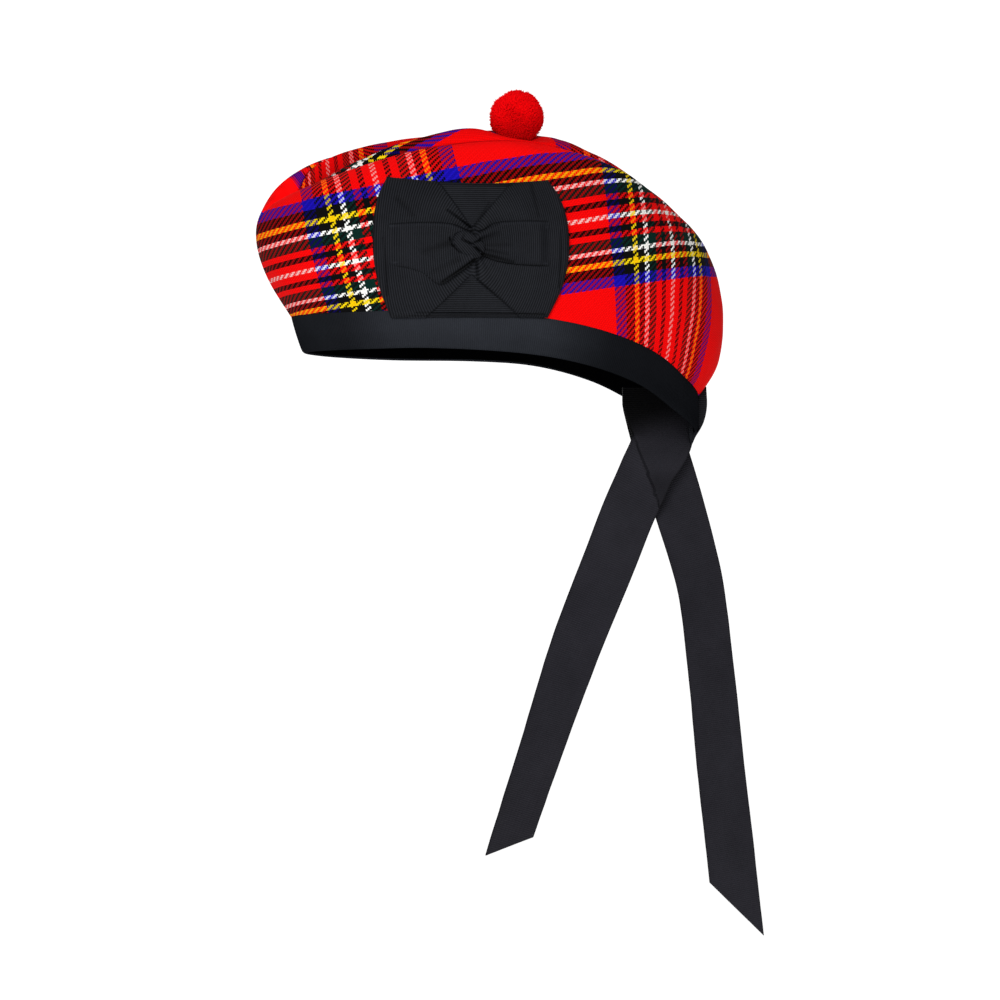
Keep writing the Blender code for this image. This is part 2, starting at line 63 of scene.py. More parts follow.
# Soft unevenness of its cloth: height, waves to the metre and seed
SIDE_WAVES = ((0.0011, 28.0, 4.0), (0.0005, 75.0, 9.0))
TOP_WAVES = ((0.0008, 40.0, 2.0), (0.0004, 90.0, 7.0))

# Seams: how far the cloth dips into them, and the widths of the dip, of the turn to the way
# that both panels face, and of the line of painted shade; then how far the pieces run into each other
SEAM_DIP = 0.0009
SEAM_WIDTH = 0.0022
SEAM_TURN = 0.002
SEAM_SHADE_WIDTH = 0.0008
SEAM_OVERLAP = 0.0004

# Rosette
ROSETTE_HEIGHT = 0.070
ROSETTE_X = -0.0288
ROSETTE_Z = 0.0493
KNOT_LENGTH = 0.0175
KNOT_HEIGHT = 0.0115
KNOT_X = -0.0030
KNOT_Z = 0.0002
KNOT_TILT = -0.60
# How far the backs of the square and the knot lie off the crown, and how far each face stands
ROSETTE_SEAT = 0.0006
KNOT_SEAT = 0.0050
SQUARE_STANDS = 0.0024
BOW_STANDS = 0.0044
KNOT_STANDS = 0.0062

# Pompom
POMPOM_DIAMETER = 0.028
POMPOM_X = 0.0050
POMPOM_Y = -0.0190
POMPOM_HEIGHT = 0.1205
# Its solid middle as a share of its size, and its yarn ends: reach as a share of their length,
# thickness and place along the yarn, which sets its painted shade
POMPOM_CORE = 0.915
YARN_COUNT = 9000
STRAY_COUNT = 260
YARN = ((0.86, 0.00036, 0.0), (0.965, 0.00031, 0.75), (1.0, 0, 1.0))
STRAY_YARN = ((0.90, 0.00007, 0.6), (0.97, 0.00006, 0.9), (1.0, 0, 1.0))
# Dent that its stitches make in the top panel
DENT_DEPTH = 0.0100
DENT_LENGTH = 0.0150
DENT_WIDTH = 0.0150
DENT_Y = -0.0275

# Ribbon tie and tails
TIE_WIDTH = 0.026
TIE_THICKNESS = 0.0020
TIE_HANG = 0.0065
TIE_CLEAR = 0.0009
TIE_LOOSE = 0.0003
TAIL_WIDTH = 0.029
TAIL_TOP = 0.016
TAIL_HIDDEN = 0.008
TAIL_SPREAD = 0.0050
TAIL_THICKNESS = 0.0010
FOLD_THICKNESS = 0.0009
TAIL_LEFT_FALL = 0.2315
TAIL_RIGHT_FALL = 0.2665
TAIL_LEFT_CUT = 0.0155
TAIL_RIGHT_CUT = 0.0335
TAIL_CUT_FROM = 0.8
TAIL_APART = 0.0045

# Pitch of the ribbons' ribs, and of the cloth's threads
RIB = 0.00105
THREAD_ACROSS = 0.00095
THREAD_ALONG = 0.00079
# Width of one repeat of the tartan
SETT = 0.1445

# Studio: how far the floor lies under the rim, how far it reaches, and its curved back wall
FLOOR_DROP = 0.345
FLOOR_REACH = 18.0
WALL_FROM = 1.2
WALL_HEIGHT = 1.35
# Light from all round, and the lamps: name, place, size and watts
AIR_LIGHT = 0.24
LAMPS = (
    ("high lamp", (-0.75, -2.2, 0.90), 1.0, 44.0),
    ("low lamp", (-0.60, -2.2, -0.25), 0.6, 8.0),
)
# Camera: place, turn from straight ahead in degrees, and focal length in millimetres
VIEW_PLACE = (-0.3131, -1.7726, -0.0764)
VIEW_TURN = -10
VIEW_LENS = 124.6

LEFT = -1
RIGHT = 1


def table(names, *rows):
    """Columns by name, from rows of numbers."""
    return {name: np.array([row[i] for row in rows]) for i, name in enumerate(names.split())}


# Each side from the front seam to the back seam, in shares of the named sizes
SIDES = table(
    "round left_drop right_drop top_x top_y left_z right_z low_out low_rise high_out high_fall",
    (0.00, 0.00, 0.00, 0.000, 0.00, 0.685, 0.685, 0.155, 0.20, 0.292, 0.040),
    (0.10, 0.00, 0.00, 0.046, 0.30, 0.733, 0.823, 0.165, 0.21, 0.300, 0.045),
    (0.22, 0.00, 0.01, 0.143, 0.64, 0.800, 0.900, 0.155, 0.23, 0.335, 0.065),
    (0.35, 0.00, 0.02, 0.306, 0.90, 0.882, 0.926, 0.130, 0.24, 0.368, 0.080),
    (0.50, 0.07, 0.02, 0.520, 1.00, 0.924, 0.924, 0.105, 0.26, 0.400, 0.088),
    (0.60, 0.20, 0.08, 0.660, 0.96, 0.900, 0.900, 0.110, 0.26, 0.386, 0.088),
    (0.70, 0.42, 0.28, 0.790, 0.83, 0.840, 0.840, 0.135, 0.25, 0.350, 0.095),
    (0.80, 0.73, 0.60, 0.885, 0.60, 0.767, 0.767, 0.172, 0.24, 0.300, 0.115),
    (0.90, 0.92, 0.88, 0.960, 0.30, 0.703, 0.703, 0.215, 0.23, 0.268, 0.140),
    (1.00, 1.00, 1.00, 1.000, 0.00, 0.667, 0.667, 0.225, 0.27, 0.264, 0.158),
)

# Band in section, from its inner upper edge down and round the rim and up its outer face: shares
# of its height and of its wall
BAND_SECTION = table(
    "height depth",
    (1.00, 1.0), (0.75, 1.0), (0.40, 1.0), (0.10, 1.0), (0.02, 0.94), (-0.022, 0.72),
    (-0.035, 0.50), (-0.022, 0.28), (0.02, 0.06), (0.08, -0.02), (0.20, -0.07), (0.35, -0.10),
    (0.50, -0.11), (0.65, -0.10), (0.80, -0.07), (0.92, -0.03), (0.975, 0.02), (1.00, 0.12),
    (1.005, 0.30),
)

# Top panel from front to back: depth of the crease and height of the ridges
CREASE = table(
    "along depth ridge",
    (0.00, 0.00, 0.00),
    (0.06, 0.45, 0.04),
    (0.16, 0.95, 0.42),
    (0.28, 1.00, 0.98),
    (0.38, 0.70, 1.20),
    (0.48, 0.25, 1.27),
    (0.58, 0.05, 1.28),
    (0.75, 0.00, 0.72),
    (0.90, 0.00, 0.40),
    (1.00, 0.00, 0.15),
)

# How the tartan lies on the sides: powers of the length along the cloth and of the height
# up it, both in decimetres, and the millimetres of pattern that each term adds
LENGTHWISE = table(
    "length height count",
    (0, 0, -67.1), (1, 0, -19.3), (0, 1, 125.9), (2, 0, -0.8), (1, 1, 3.9), (0, 2, -11.3),
    (3, 0, 1.8), (2, 1, 0.3), (1, 2, -4.3), (0, 3, -11.3),
)
CROSSWISE = table(
    "length height count",
    (0, 0, 56.2), (1, 0, 102.7), (0, 1, 23.6), (2, 0, 8.5), (1, 1, -17.5), (0, 2, -14.1),
    (3, 0, -3.1), (2, 1, -15.3), (1, 2, 3.0), (0, 3, -0.7),
)

# How it lies on the top: place along the panel, count across the stripes that cross it, and
# count of the lengthwise stripes at the left seam, in millimetres
TOP_CLOTH = table(
    "along cross seam",
    (0.00, -35.0, 9.0),
    (0.05, -14.0, 12.5),
    (0.09, 0.0, 16.5),
    (0.18, 24.4, 24.0),
    (0.25, 38.0, 31.5),
    (0.32, 51.0, 38.0),
    (0.50, 80.0, 56.0),
    (0.70, 112.0, 66.0),
    (1.00, 160.0, 70.0),
)
# Cloth taken up inside the crease, in millimetres of pattern
CREASE_TAKES = 55.0

# One half of the tartan's repeat, from its middle out: where each stripe ends, and its colour
STRIPES = (
    (0.0012, "white"),
    (0.0050, "red"),
    (0.0080, "black"),
    (0.0115, "red"),
    (0.0167, "green"),
    (0.0191, "white"),
    (0.0229, "black"),
    (0.0262, "yellow"),
    (0.0317, "black"),
    (0.0379, "blue"),
    (SETT / 2, "red"),
)
DYES = {
    "white": (0.93, 0.93, 0.90, 1.0),
    "red": (0.95, 0.003, 0.004, 1.0),
    "black": (0.003, 0.003, 0.003, 1.0),
    "green": (0.002, 0.020, 0.015, 1.0),
    "yellow": (0.98, 0.70, 0.004, 1.0),
    "blue": (0.018, 0.008, 0.60, 1.0),
}
# Yarn from the ball's middle at 0 to the cut ends at 1: painted shade, darker deep in the ball and
# brighter at the ends
YARN_DEPTH_SHADE = (
    (0.00, (0.40, 0.0, 0.001, 1.0)),
    (0.55, (0.64, 0.0005, 0.002, 1.0)),
    (1.00, (0.90, 0.001, 0.003, 1.0)),
)

# Tie from its inner end round the band's lower edge to its outer end: shares of the band's
# height and wall, and how far it stands out and hangs, in shares of TIE_THICKNESS and TIE_HANG
TIE = table(
    "order height depth out down",
    (0, 0.90, 1.0, -1.0, 0.0),
    (1, -0.02, 1.0, -1.0, 0.1),
    (2, -0.02, 0.5, -1.0, 1.0),
    (3, -0.02, 0.0, -0.5, 0.3),
    (4, 0.22, 0.0, 1.3, 0.0),
    (5, 0.70, 0.0, 2.2, 0.0),
    (6, 1.24, 0.0, 2.0, -0.1),
)

# Tails from the tie down: how far ahead in shares of the fall, how far to the side in shares
# of TAIL_APART, and which way the ribbon faces, in degrees
TAIL_LEFT = table(
    "down ahead side turn",
    (0.00, 0.088, -1.0, 2.0),
    (0.08, 0.066, -1.0, 2.0),
    (0.16, 0.097, -1.0, 3.0),
    (0.25, 0.137, -0.9, 4.0),
    (0.36, 0.179, -0.6, 6.0),
    (0.54, 0.249, 0.2, 14.0),
    (0.76, 0.323, 1.0, 27.0),
    (1.00, 0.402, 1.4, 35.0),
)
TAIL_RIGHT = table(
    "down ahead side turn",
    (0.00, 0.070, 1.0, 3.0),
    (0.07, 0.052, 1.0, 5.0),
    (0.19, 0.014, 1.0, 10.0),
    (0.31, -0.020, 0.8, 18.0),
    (0.39, -0.037, 0.6, 21.0),
    (0.55, -0.055, 0.3, 20.0),
    (0.73, -0.073, 0.2, 18.0),
    (1.00, -0.106, 0.6, 16.0),
)
# Fold at the top of the left tail, from its left end to its point, in x and z
FOLD_LINE = ((0.0695, -0.0440), (0.0829, -0.0790))


# Reading the tables and working on grids of points

def read(rows, at, name):
    """A column's values at places along the first one, on a smooth curve through its rows."""
    keys = next(iter(rows.values()))
    values = rows[name]
    at = np.clip(at, keys[0], keys[-1])
    i = np.clip(np.searchsorted(keys, at, side="left") - 1, 0, len(keys) - 2)
    before = np.maximum(np.arange(len(keys)) - 1, 0)
    after = np.minimum(np.arange(len(keys)) + 1, len(keys) - 1)
    slope = (values[after] - values[before]) / (keys[after] - keys[before])
    span = keys[i + 1] - keys[i]
    t = (at - keys[i]) / span
    start = (2 * t**3 - 3 * t**2 + 1) * values[i]
    end = (3 * t**2 - 2 * t**3) * values[i + 1]
    leave = (t**3 - 2 * t**2 + t) * span * slope[i]
    arrive = (t**3 - t**2) * span * slope[i + 1]
    return start + end + leave + arrive


def stack(x, y, z):
    """Points from three arrays of coordinates."""
    return np.stack(np.broadcast_arrays(x, y, z), axis=-1).astype(float)


def unit(vectors):
    """The same directions at length one."""
    return vectors / np.maximum(np.linalg.norm(vectors, axis=-1, keepdims=True), 1e-12)


def ease(low, high, value):
    """0 below low and 1 above high, with a smooth rise between."""
    t = np.clip((value - low) / (high - low), 0, 1)
    return t * t * (3 - 2 * t)


def hump(away, width):
    """1 at 0, falling softly to both sides over a width."""
    return np.exp(-((away / width) ** 2))


def grid_normals(grid):
    """The unit normals of a grid of points, along its rows crossed with up its columns."""
    along = np.gradient(grid, axis=1)
    up = np.gradient(grid, axis=0)
    return unit(np.cross(along, up))


def row_lengths(grid):
    """The length along each row up to each point."""
    steps = np.linalg.norm(np.diff(grid, axis=1), axis=2)
    return np.concatenate([np.zeros((len(grid), 1)), np.cumsum(steps, axis=1)], axis=1)


def column_lengths(grid):
    """The length up each column to each point."""
    return row_lengths(grid.transpose(1, 0, 2)).T


def ruffle(grid, scale, seed):
    """Smooth uneven values from -1 to 1 over a grid of points."""
    flat = grid.reshape(-1, 3) * scale
    values = [noise.noise(Vector(p) + Vector((seed, 0, 0))) for p in flat]
    return np.array(values).reshape(grid.shape[:2])


def waves(grid, *kinds):
    """Soft unevenness over a grid; each kind is a height, waves to the metre and a seed."""
    return sum(height * ruffle(grid, scale, seed) for height, scale, seed in kinds)


# The crown's own shape

def plan_normal(share, side):
    """The outward direction at a place round the rim, seen from above."""
    turn = np.pi * share
    return unit(stack(-np.cos(turn) / RIM_LENGTH, side * np.sin(turn) / RIM_WIDTH, 0.0 * turn))


def side_value(share, side, name):
    """A size that differs from the left side to the right."""
    left = read(SIDES, share, "left_" + name)
    return np.where(side == LEFT, left, read(SIDES, share, "right_" + name))


def rim_point(share, side, inset=0.0):
    """A point on the rim's lower outer edge, from the front at 0 to the back at 1."""
    turn = np.pi * share
    drop = BACK_DROP * side_value(share, side, "drop")
    edge = stack(-np.cos(turn) * RIM_LENGTH / 2, side * np.sin(turn) * RIM_WIDTH / 2, -drop)
    return edge - plan_normal(share, side) * np.asarray(inset)[..., None]


def band_up(share, side):
    """The direction across the band's ribbon, from its lower to its upper edge."""
    step = 0.01
    before = rim_point(np.maximum(share - step, 0.0), side)
    after = rim_point(np.minimum(share + step, 1.0), side)
    along = unit(after - before)
    up = np.array([0.0, 0.0, 1.0]) - along * along[..., 2:]
    up[..., 1] *= np.clip(np.minimum(share, 1 - share) / 0.036, 0, 1)
    return unit(up)


def band_point(share, side, height, inset=0.0):
    """A point on the band at a share of its height; inset goes into its wall."""
    share = np.asarray(share, dtype=float)
    flare = BAND_FLARE * (1 + np.cos(np.pi * share)) / 2
    height = np.asarray(height, dtype=float)
    up = band_up(share, side) * (BAND_HEIGHT * height)[..., None]
    out = plan_normal(share, side) * (flare * height)[..., None]
    return rim_point(share, side, inset) + up + out


def ridge_seam(share, side):
    """A point where a side panel meets the top panel."""
    x = -RIM_LENGTH / 2 - TOP_FRONT + TOP_LENGTH * read(SIDES, share, "top_x")
    width = read(SIDES, share, "top_y")
    z = CROWN_HEIGHT * side_value(share, side, "z")
    return stack(x, side * width * TOP_WIDTH / 2 - TOP_LEAN * width, z)


def side_point(share, side, height):
    """A point on a side panel's outer face; height runs from the band to the seam."""
    size = {
        name: (CROWN_HEIGHT * read(SIDES, share, name))[..., None]
        for name in ("low_out", "low_rise", "high_out", "high_fall")
    }
    out = plan_normal(share, side)
    up = np.array([0.0, 0.0, 1.0])
    low = band_point(share, side, np.ones_like(share))
    high = ridge_seam(share, side)
    low_pull = low + out * size["low_out"] + up * size["low_rise"]
    high_pull = high + out * size["high_out"] - up * size["high_fall"]
    t = height[..., None]
    rest = 1 - t
    return low * rest**3 + low_pull * 3 * t * rest**2 + high_pull * 3 * t**2 * rest + high * t**3


def dent(x, y):
    """How far the pompom's stitches pull the top panel down."""
    return DENT_DEPTH * np.exp(-(((x - POMPOM_X) / DENT_LENGTH) ** 2) - ((y - DENT_Y) / DENT_WIDTH) ** 2)


def top_point(share, across):
    """A point on the top panel, from its left seam at -1 to its right seam at 1."""
    left = ridge_seam(share, LEFT)
    right = ridge_seam(share, RIGHT)
    along = read(SIDES, share, "top_x")
    point = (left + right) / 2 + (right - left) * across[..., None] / 2
    rise = RIDGE_RISE * read(CREASE, along, "ridge")
    depth = CREASE_DEPTH * read(CREASE, along, "depth")
    arch = 1 - np.abs(across) ** RIDGE_CURVE
    fold = np.maximum(0.0, 1 - np.abs(across) / RIDGE_AT) ** CREASE_CURVE
    point[..., 2] += rise * arch - depth * fold - dent(point[..., 0], point[..., 1]) * arch
    return point


# Turning grids into pieces

def grid_faces(first, rows, columns, flip=False, closed=False):
    """A grid's faces; first is the number of its first point."""
    faces = []
    for i in range(rows - 1):
        for j in range(columns if closed else columns - 1):
            a = first + i * columns + j
            b = first + i * columns + (j + 1) % columns
            quad = (a, b, b + columns, a + columns)
            faces.append(quad[::-1] if flip else quad)
    return faces


def made_piece(name, points, faces, cloth_uv, finishes, kinds=None, painted_light_and_marks=None):
    """A smooth piece facing outward, with its pattern's own UV map and a finish for each face."""
    mesh = bpy.data.meshes.new(name)
    mesh.from_pydata(points.tolist(), [], faces)
    mesh.update()
    layer = mesh.uv_layers.new(name="cloth")
    corners = np.empty(len(mesh.loops), dtype=np.int32)
    mesh.loops.foreach_get("vertex_index", corners)
    layer.data.foreach_set("uv", cloth_uv[corners].astype(np.float32).ravel())
    if kinds is not None:
        mesh.polygons.foreach_set("material_index", np.array(kinds, dtype=np.int32))
    if painted_light_and_marks is not None:
        kept = mesh.attributes.new("fold", "FLOAT", "POINT")
        kept.data.foreach_set("value", painted_light_and_marks.astype(np.float32))
    for finish in finishes:
        mesh.materials.append(finish)
    shape = bmesh.new()
    shape.from_mesh(mesh)
    bmesh.ops.recalc_face_normals(shape, faces=shape.faces)
    shape.to_mesh(mesh)
    shape.free()
    mesh.shade_smooth()
    piece = bpy.data.objects.new(name, mesh)
    bpy.context.collection.objects.link(piece)
    return piece


def cloth_piece(name, outer, inner, cloth_uv, finishes, painted_light_and_marks=None):
    """A closed wall of cloth or ribbon between two grids.

    The last argument is below 0 for painted shade in seams, creases and folds and along the tails'
    edges, and above 0 for painted light and the bow's lighter stitches."""
    rows, columns = outer.shape[:2]
    count = rows * columns
    faces = grid_faces(0, rows, columns) + grid_faces(count, rows, columns, flip=True)
    kinds = np.repeat((0, len(finishes) - 1), len(faces) // 2).tolist()
    edges = []
    top = (rows - 1) * columns
    for j in range(columns - 1):
        edges.append((j + 1, j, count + j, count + j + 1))
        edges.append((top + j, top + j + 1, count + top + j + 1, count + top + j))
    for a in range(0, top, columns):
        b = a + columns
        edges.append((a, b, count + b, count + a))
        c = a + columns - 1
        d = c + columns
        edges.append((d, c, count + c, count + d))
    points = np.concatenate([outer.reshape(-1, 3), inner.reshape(-1, 3)])
    place = np.concatenate([np.stack(cloth_uv, axis=-1).reshape(-1, 2)] * 2)
    if painted_light_and_marks is not None:
        painted_light_and_marks = np.concatenate([painted_light_and_marks.ravel()] * 2)
    kinds += [0] * len(edges)
    piece = made_piece(name, points, faces + edges, place, finishes, kinds, painted_light_and_marks)
    piece.data.set_sharp_from_angle(angle=math.radians(55))
    return piece


def cloth_area(grid):
    """The area of a grid of points, in square metres."""
    a = grid[:-1, :-1]
    cross = np.cross(grid[:-1, 1:] - a, grid[1:, :-1] - a)
    return float(np.linalg.norm(cross, axis=-1).sum())


def dress(piece, node, area=None):
    """Fits a sheet of cloth or ribbon in place of a plain solid."""
    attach(piece, "root")
    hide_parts(node)


# Finishes

class Value:
    """What a node gives at each place, so that sums can be written as usual."""

    def __init__(self, finish, socket):
        self.finish = finish
        self.socket = socket

    def __add__(self, other):
        return self.finish.math("ADD", self, other)

    def __sub__(self, other):
        return self.finish.math("SUBTRACT", self, other)

    def __rsub__(self, other):
        return self.finish.math("SUBTRACT", other, self)

    def __mul__(self, other):
        return self.finish.math("MULTIPLY", self, other)

    def __truediv__(self, other):
        return self.finish.math("DIVIDE", self, other)

    def __mod__(self, other):
        return self.finish.math("FLOORED_MODULO", self, other)


class Finish:
    """A material with short calls for its nodes."""

    def __init__(self, name, roughness, specular=0.0):
        self.material = bpy.data.materials.new(name)
        self.material.use_nodes = True
        self.tree = self.material.node_tree
        self.shader = self.tree.nodes["Principled BSDF"]
        self.wire(self.shader, 0, ("Roughness", roughness), ("Specular IOR Level", specular))

    def add(self, kind):
        return self.tree.nodes.new("ShaderNode" + kind)

    def wire(self, node, out, *pairs):
        """Sets a node's inputs to numbers, colours or values, and gives one of its outputs."""
        for socket, value in pairs:
            if isinstance(value, Value):
                self.tree.links.new(value.socket, node.inputs[socket])
            else:
                node.inputs[socket].default_value = value
        return Value(self, node.outputs[out])

    def math(self, operation, *values):
        node = self.add("Math")
        node.operation = operation
        return self.wire(node, 0, *enumerate(values))

    def mix(self, share, first, second, blend="MIX"):
        node = self.add("Mix")
        node.data_type = "RGBA"
        node.blend_type = blend
        return self.wire(node, 2, (0, share), (6, first), (7, second))

    def apart(self, value, kind="XYZ"):
        """The three coordinates of a place, or the three parts of a colour."""
        node = self.add("Separate" + kind)
        return [self.wire(node, i, (0, value)) for i in range(3)]

    def uv(self):
        """The place on the pattern and its two coordinates, in metres of cloth."""
        node = self.add("UVMap")
        node.uv_map = "cloth"
        place = self.wire(node, 0)
        return (place, *self.apart(place)[:2])

    def fold(self):
        """The painted shade in folds, seams and creases, and the painted light and the bow's lighter
        stitches.
        """
        node = self.add("Attribute")
        node.attribute_name = "fold"
        value = self.wire(node, "Fac")
        return self.math("MINIMUM", value, 0.0), self.math("MAXIMUM", value, 0.0)

    def noise(self, place, scale, detail=2.0, rough=0.5):
        sizes = (("Scale", scale), ("Detail", detail), ("Roughness", rough))
        return self.wire(self.add("TexNoise"), "Fac", ("Vector", place), *sizes)

    def ramp(self, share, stops, steps=False):
        node = self.add("ValToRGB")
        if steps:
            node.color_ramp.interpolation = "CONSTANT"
        marks = node.color_ramp.elements
        while len(marks) < len(stops):
            marks.new(0.5)
        for mark, (place, colour) in zip(marks, stops):
            mark.position = place
            mark.color = colour
        return self.wire(node, 0, (0, share))

    def bump(self, height, distance, strength):
        sizes = (("Distance", distance), ("Strength", strength))
        normal = self.wire(self.add("Bump"), 0, ("Height", height), *sizes)
        self.wire(self.shader, 0, ("Normal", normal))

    def colour(self, source):
        self.wire(self.shader, 0, ("Base Color", source))


def stripe_colour(finish, count):
    """The dye of the thread at a place in the repeat."""
    half = SETT / 2
    share = finish.math("ABSOLUTE", finish.math("WRAP", count, half, -half)) / half
    stops = []
    start = 0.0
    for end, dye in STRIPES:
        stops.append((start, DYES[dye]))
        start = end / half
    return finish.ramp(share, stops, steps=True)


def twill(finish, across, along):
    """Two sets of dyed threads, two over and two under.

    Gives the colour seen, the colour under it, 1 where the lengthwise thread lies over the
    other, and the height of the thread that is seen."""
    warp_line = across / THREAD_ACROSS
    weft_line = along / THREAD_ALONG
    warp_number = finish.math("FLOOR", warp_line)
    weft_number = finish.math("FLOOR", weft_line)
    warp_dye = stripe_colour(finish, warp_number * THREAD_ACROSS)
    weft_dye = stripe_colour(finish, weft_number * THREAD_ALONG)
    warp_round = finish.math("PINGPONG", warp_line, 0.5)
    weft_round = finish.math("PINGPONG", weft_line, 0.5)
    # The threads that run lengthwise are fuller, and close over the others' edges
    closed = finish.math("LESS_THAN", warp_round, 0.06)
    turn = (warp_number - weft_number) % 4.0
    over = finish.math("MAXIMUM", finish.math("LESS_THAN", turn, 2.0), closed)
    seen = finish.mix(over, warp_dye, weft_dye)
    under = finish.mix(over, weft_dye, warp_dye)
    # Each float is a short round thread, so it falls away at its edges and its ends
    warp_ends = finish.math("PINGPONG", (warp_number - weft_line) % 4.0 - 1.0, 1.0)
    weft_ends = finish.math("PINGPONG", (warp_line - weft_number) % 4.0, 1.0)
    height = warp_round * warp_ends * (1.0 - over) + weft_round * weft_ends * over
    return seen, under, over, height


def tartan_cloth():
    """Wool cloth with a soft nap, with painted shade in seams and creases and painted light high on the
    sides.
    """
    finish = Finish("tartan cloth", 0.92, specular=0.05)
    place, across, along = finish.uv()
    seen, under, over, height = twill(finish, across, along)
    # A coloured thread looks darker where a dark one crosses it, and takes a tint from others
    red, green, blue = finish.apart(seen, "Color")
    others = finish.apart(under, "Color")
    bright = finish.math("MAXIMUM", others[0], finish.math("MAXIMUM", others[1], others[2]))
    tint = finish.math("MAXIMUM", red - green, (blue - green) * 2.0)
    sunk = (1.0 - bright) * tint * (over * 0.42 - 0.74)
    nap = finish.noise(place, 1100.0, 3.0, 0.6)
    worn = finish.noise(place, 55.0, 3.0, 0.6)
    # seam is the painted shade in seams and creases, lit the painted light high on the sides
    seam, lit = finish.fold()
    # The threads' height also darkens their colour where they fall away: painted shade between the
    # threads
    shade = (height + 0.80) * (sunk + 1.0) * (nap * 0.26 + 0.88) * (worn * 0.12 + 0.94)
    shade = shade * (seam * 0.80 + 1.0) * (lit * 0.28 + 1.0)
    dyed = finish.mix(bright * (over * -0.26 + 0.78), seen, under, blend="MULTIPLY")
    finish.colour(finish.mix(1.0, dyed, shade, blend="MULTIPLY"))
    finish.bump(nap * 0.35 + height, 0.00030, 0.6)
    return finish.material


def ribbon(name, base, light, roughness, specular, depth=0.15):
    """Ribbed ribbon: ribs across its width, finer warp along it, with painted light on the ribs."""
    finish = Finish(name, roughness, specular=specular)
    place, along, across = finish.uv()
    wave = finish.math("SINE", along * (2 * math.pi / RIB))
    warp = finish.math("SINE", across * (2 * math.pi / (RIB * 0.42)))
    uneven = finish.noise(place, 420.0, 3.0, 0.6)
    cloudy = finish.noise(place, 45.0, 3.0, 0.55)
    height = warp * 0.16 + wave + uneven * 0.6
    # sunk carries the painted shade and the tails' darker edges; lit the painted light and the bow's
    # lighter stitches
    sunk, lit = finish.fold()
    # The ribs' rise also lightens the colour: painted light on the ribs
    tone = wave * depth + uneven * 0.22 + cloudy * 0.50 + lit * 0.9 + 0.16
    dyed = finish.mix(tone, base, light)
    finish.colour(finish.mix(1.0, dyed, sunk * 0.92 + 1.0, blend="MULTIPLY"))
    finish.bump(height, 0.00012, 0.7)
    return finish.material


def black_lining():
    """Plain dull lining, darker than the black dye: a black lining with painted shade inside the cap."""
    finish = Finish("black lining", 1.0)
    fine = finish.noise(finish.uv()[0], 1500.0)
    finish.colour(finish.mix(fine, (0.0006, 0.0006, 0.0008, 1.0), (0.0016, 0.0016, 0.0020, 1.0)))
    finish.bump(fine, 0.0001, 0.4)
    return finish.material


def pompom_wool():
    """Cut red yarn, with painted shade deep between the ends."""
    finish = Finish("pompom wool", 0.95, specular=0.05)
    place, _, tip = finish.uv()
    strand = finish.noise(place, 900.0)
    finish.colour(finish.ramp(strand * 0.35 + tip, YARN_DEPTH_SHADE))
    finish.bump(strand, 0.0002, 0.3)
    return finish.material


# Cloth of the crown

def seam_out(share, side):
    """The way that a side and the top both face along the seam between them."""
    place, height = np.meshgrid(share, (0.97, 1.0))
    low = grid_normals(side_point(place, side, height))[-1] * -side
    across = (-1.0, -0.97) if side == LEFT else (0.97, 1.0)
    high = grid_normals(top_point(*np.meshgrid(share, across)))[0 if side == LEFT else -1]
    return unit(low + high)


def facing_seam(out, share, side, away):
    """A panel's directions, turned near the seam to the way that both panels face there."""
    near = hump(away, SEAM_TURN)[..., None]
    return unit(out * (1 - near) + seam_out(share, side)[None] * near)


def pattern_count(rows, length, height):
    """Metres of pattern at places on the cloth, from its table of terms."""
    total = 0.0
    for power, rise, count in zip(rows["length"], rows["height"], rows["count"]):
        total = total + count * (length * 10) ** power * (height * 10) ** rise
    return total / 1000


def crowded(count, pull=0.35):
    """Shares from 0 to 1 that lie closer together at both ends."""
    even = np.linspace(0, 1, count)
    return even - pull * np.sin(2 * np.pi * even) / (2 * np.pi)


def side_cloth(name, side, finishes):
    """One side of the crown, softly uneven, dipping into its seams."""
    share, height = np.meshgrid(crowded(201), crowded(97, 0.6))
    grid = side_point(share, side, height)
    length = row_lengths(grid)
    rise = column_lengths(grid)
    whole = length[:, -1:]
    tall = rise[-1:, :]
    from_middle = length - length[:, [length.shape[1] // 2]]
    up_cloth = grid[:1, :, 2] + rise
    near = np.minimum(np.minimum(length, whole - length), tall - rise)
    out = grid_normals(grid) * -side
    out[:, [0, -1], 1] = 0.0
    out = facing_seam(unit(out), share[0], side, tall - rise)
    grid[-1] += unit(grid[-1] - grid[-2]) * SEAM_OVERLAP
    calm = ease(0.0, 0.012, near) * ease(0.0, 0.006, rise)
    lift = calm * waves(grid, *SIDE_WAVES)
    lift -= SEAM_DIP * hump(near, SEAM_WIDTH)
    outer = grid + out * lift[..., None]
    inner = grid - out * CLOTH
    across = pattern_count(CROSSWISE, from_middle, up_cloth)
    along = pattern_count(LENGTHWISE, from_middle, up_cloth)
    # Low on the cloth the stripes lie a little wider apart
    low = -0.055
    along = np.where(along < low, low + (along - low) * 0.8, along)
    # Painted light high on the side, fading out toward the back, and painted shade in a line along the
    # seams
    lit = ease(0.60, 0.92, height) * ease(0.80, 0.65, share)
    painted_light_and_marks = np.maximum(lit - 2 * hump(near, SEAM_SHADE_WIDTH), -1)
    piece = cloth_piece(name, outer, inner, (across, along), finishes, painted_light_and_marks)
    dress(piece, name, cloth_area(grid))
    return piece


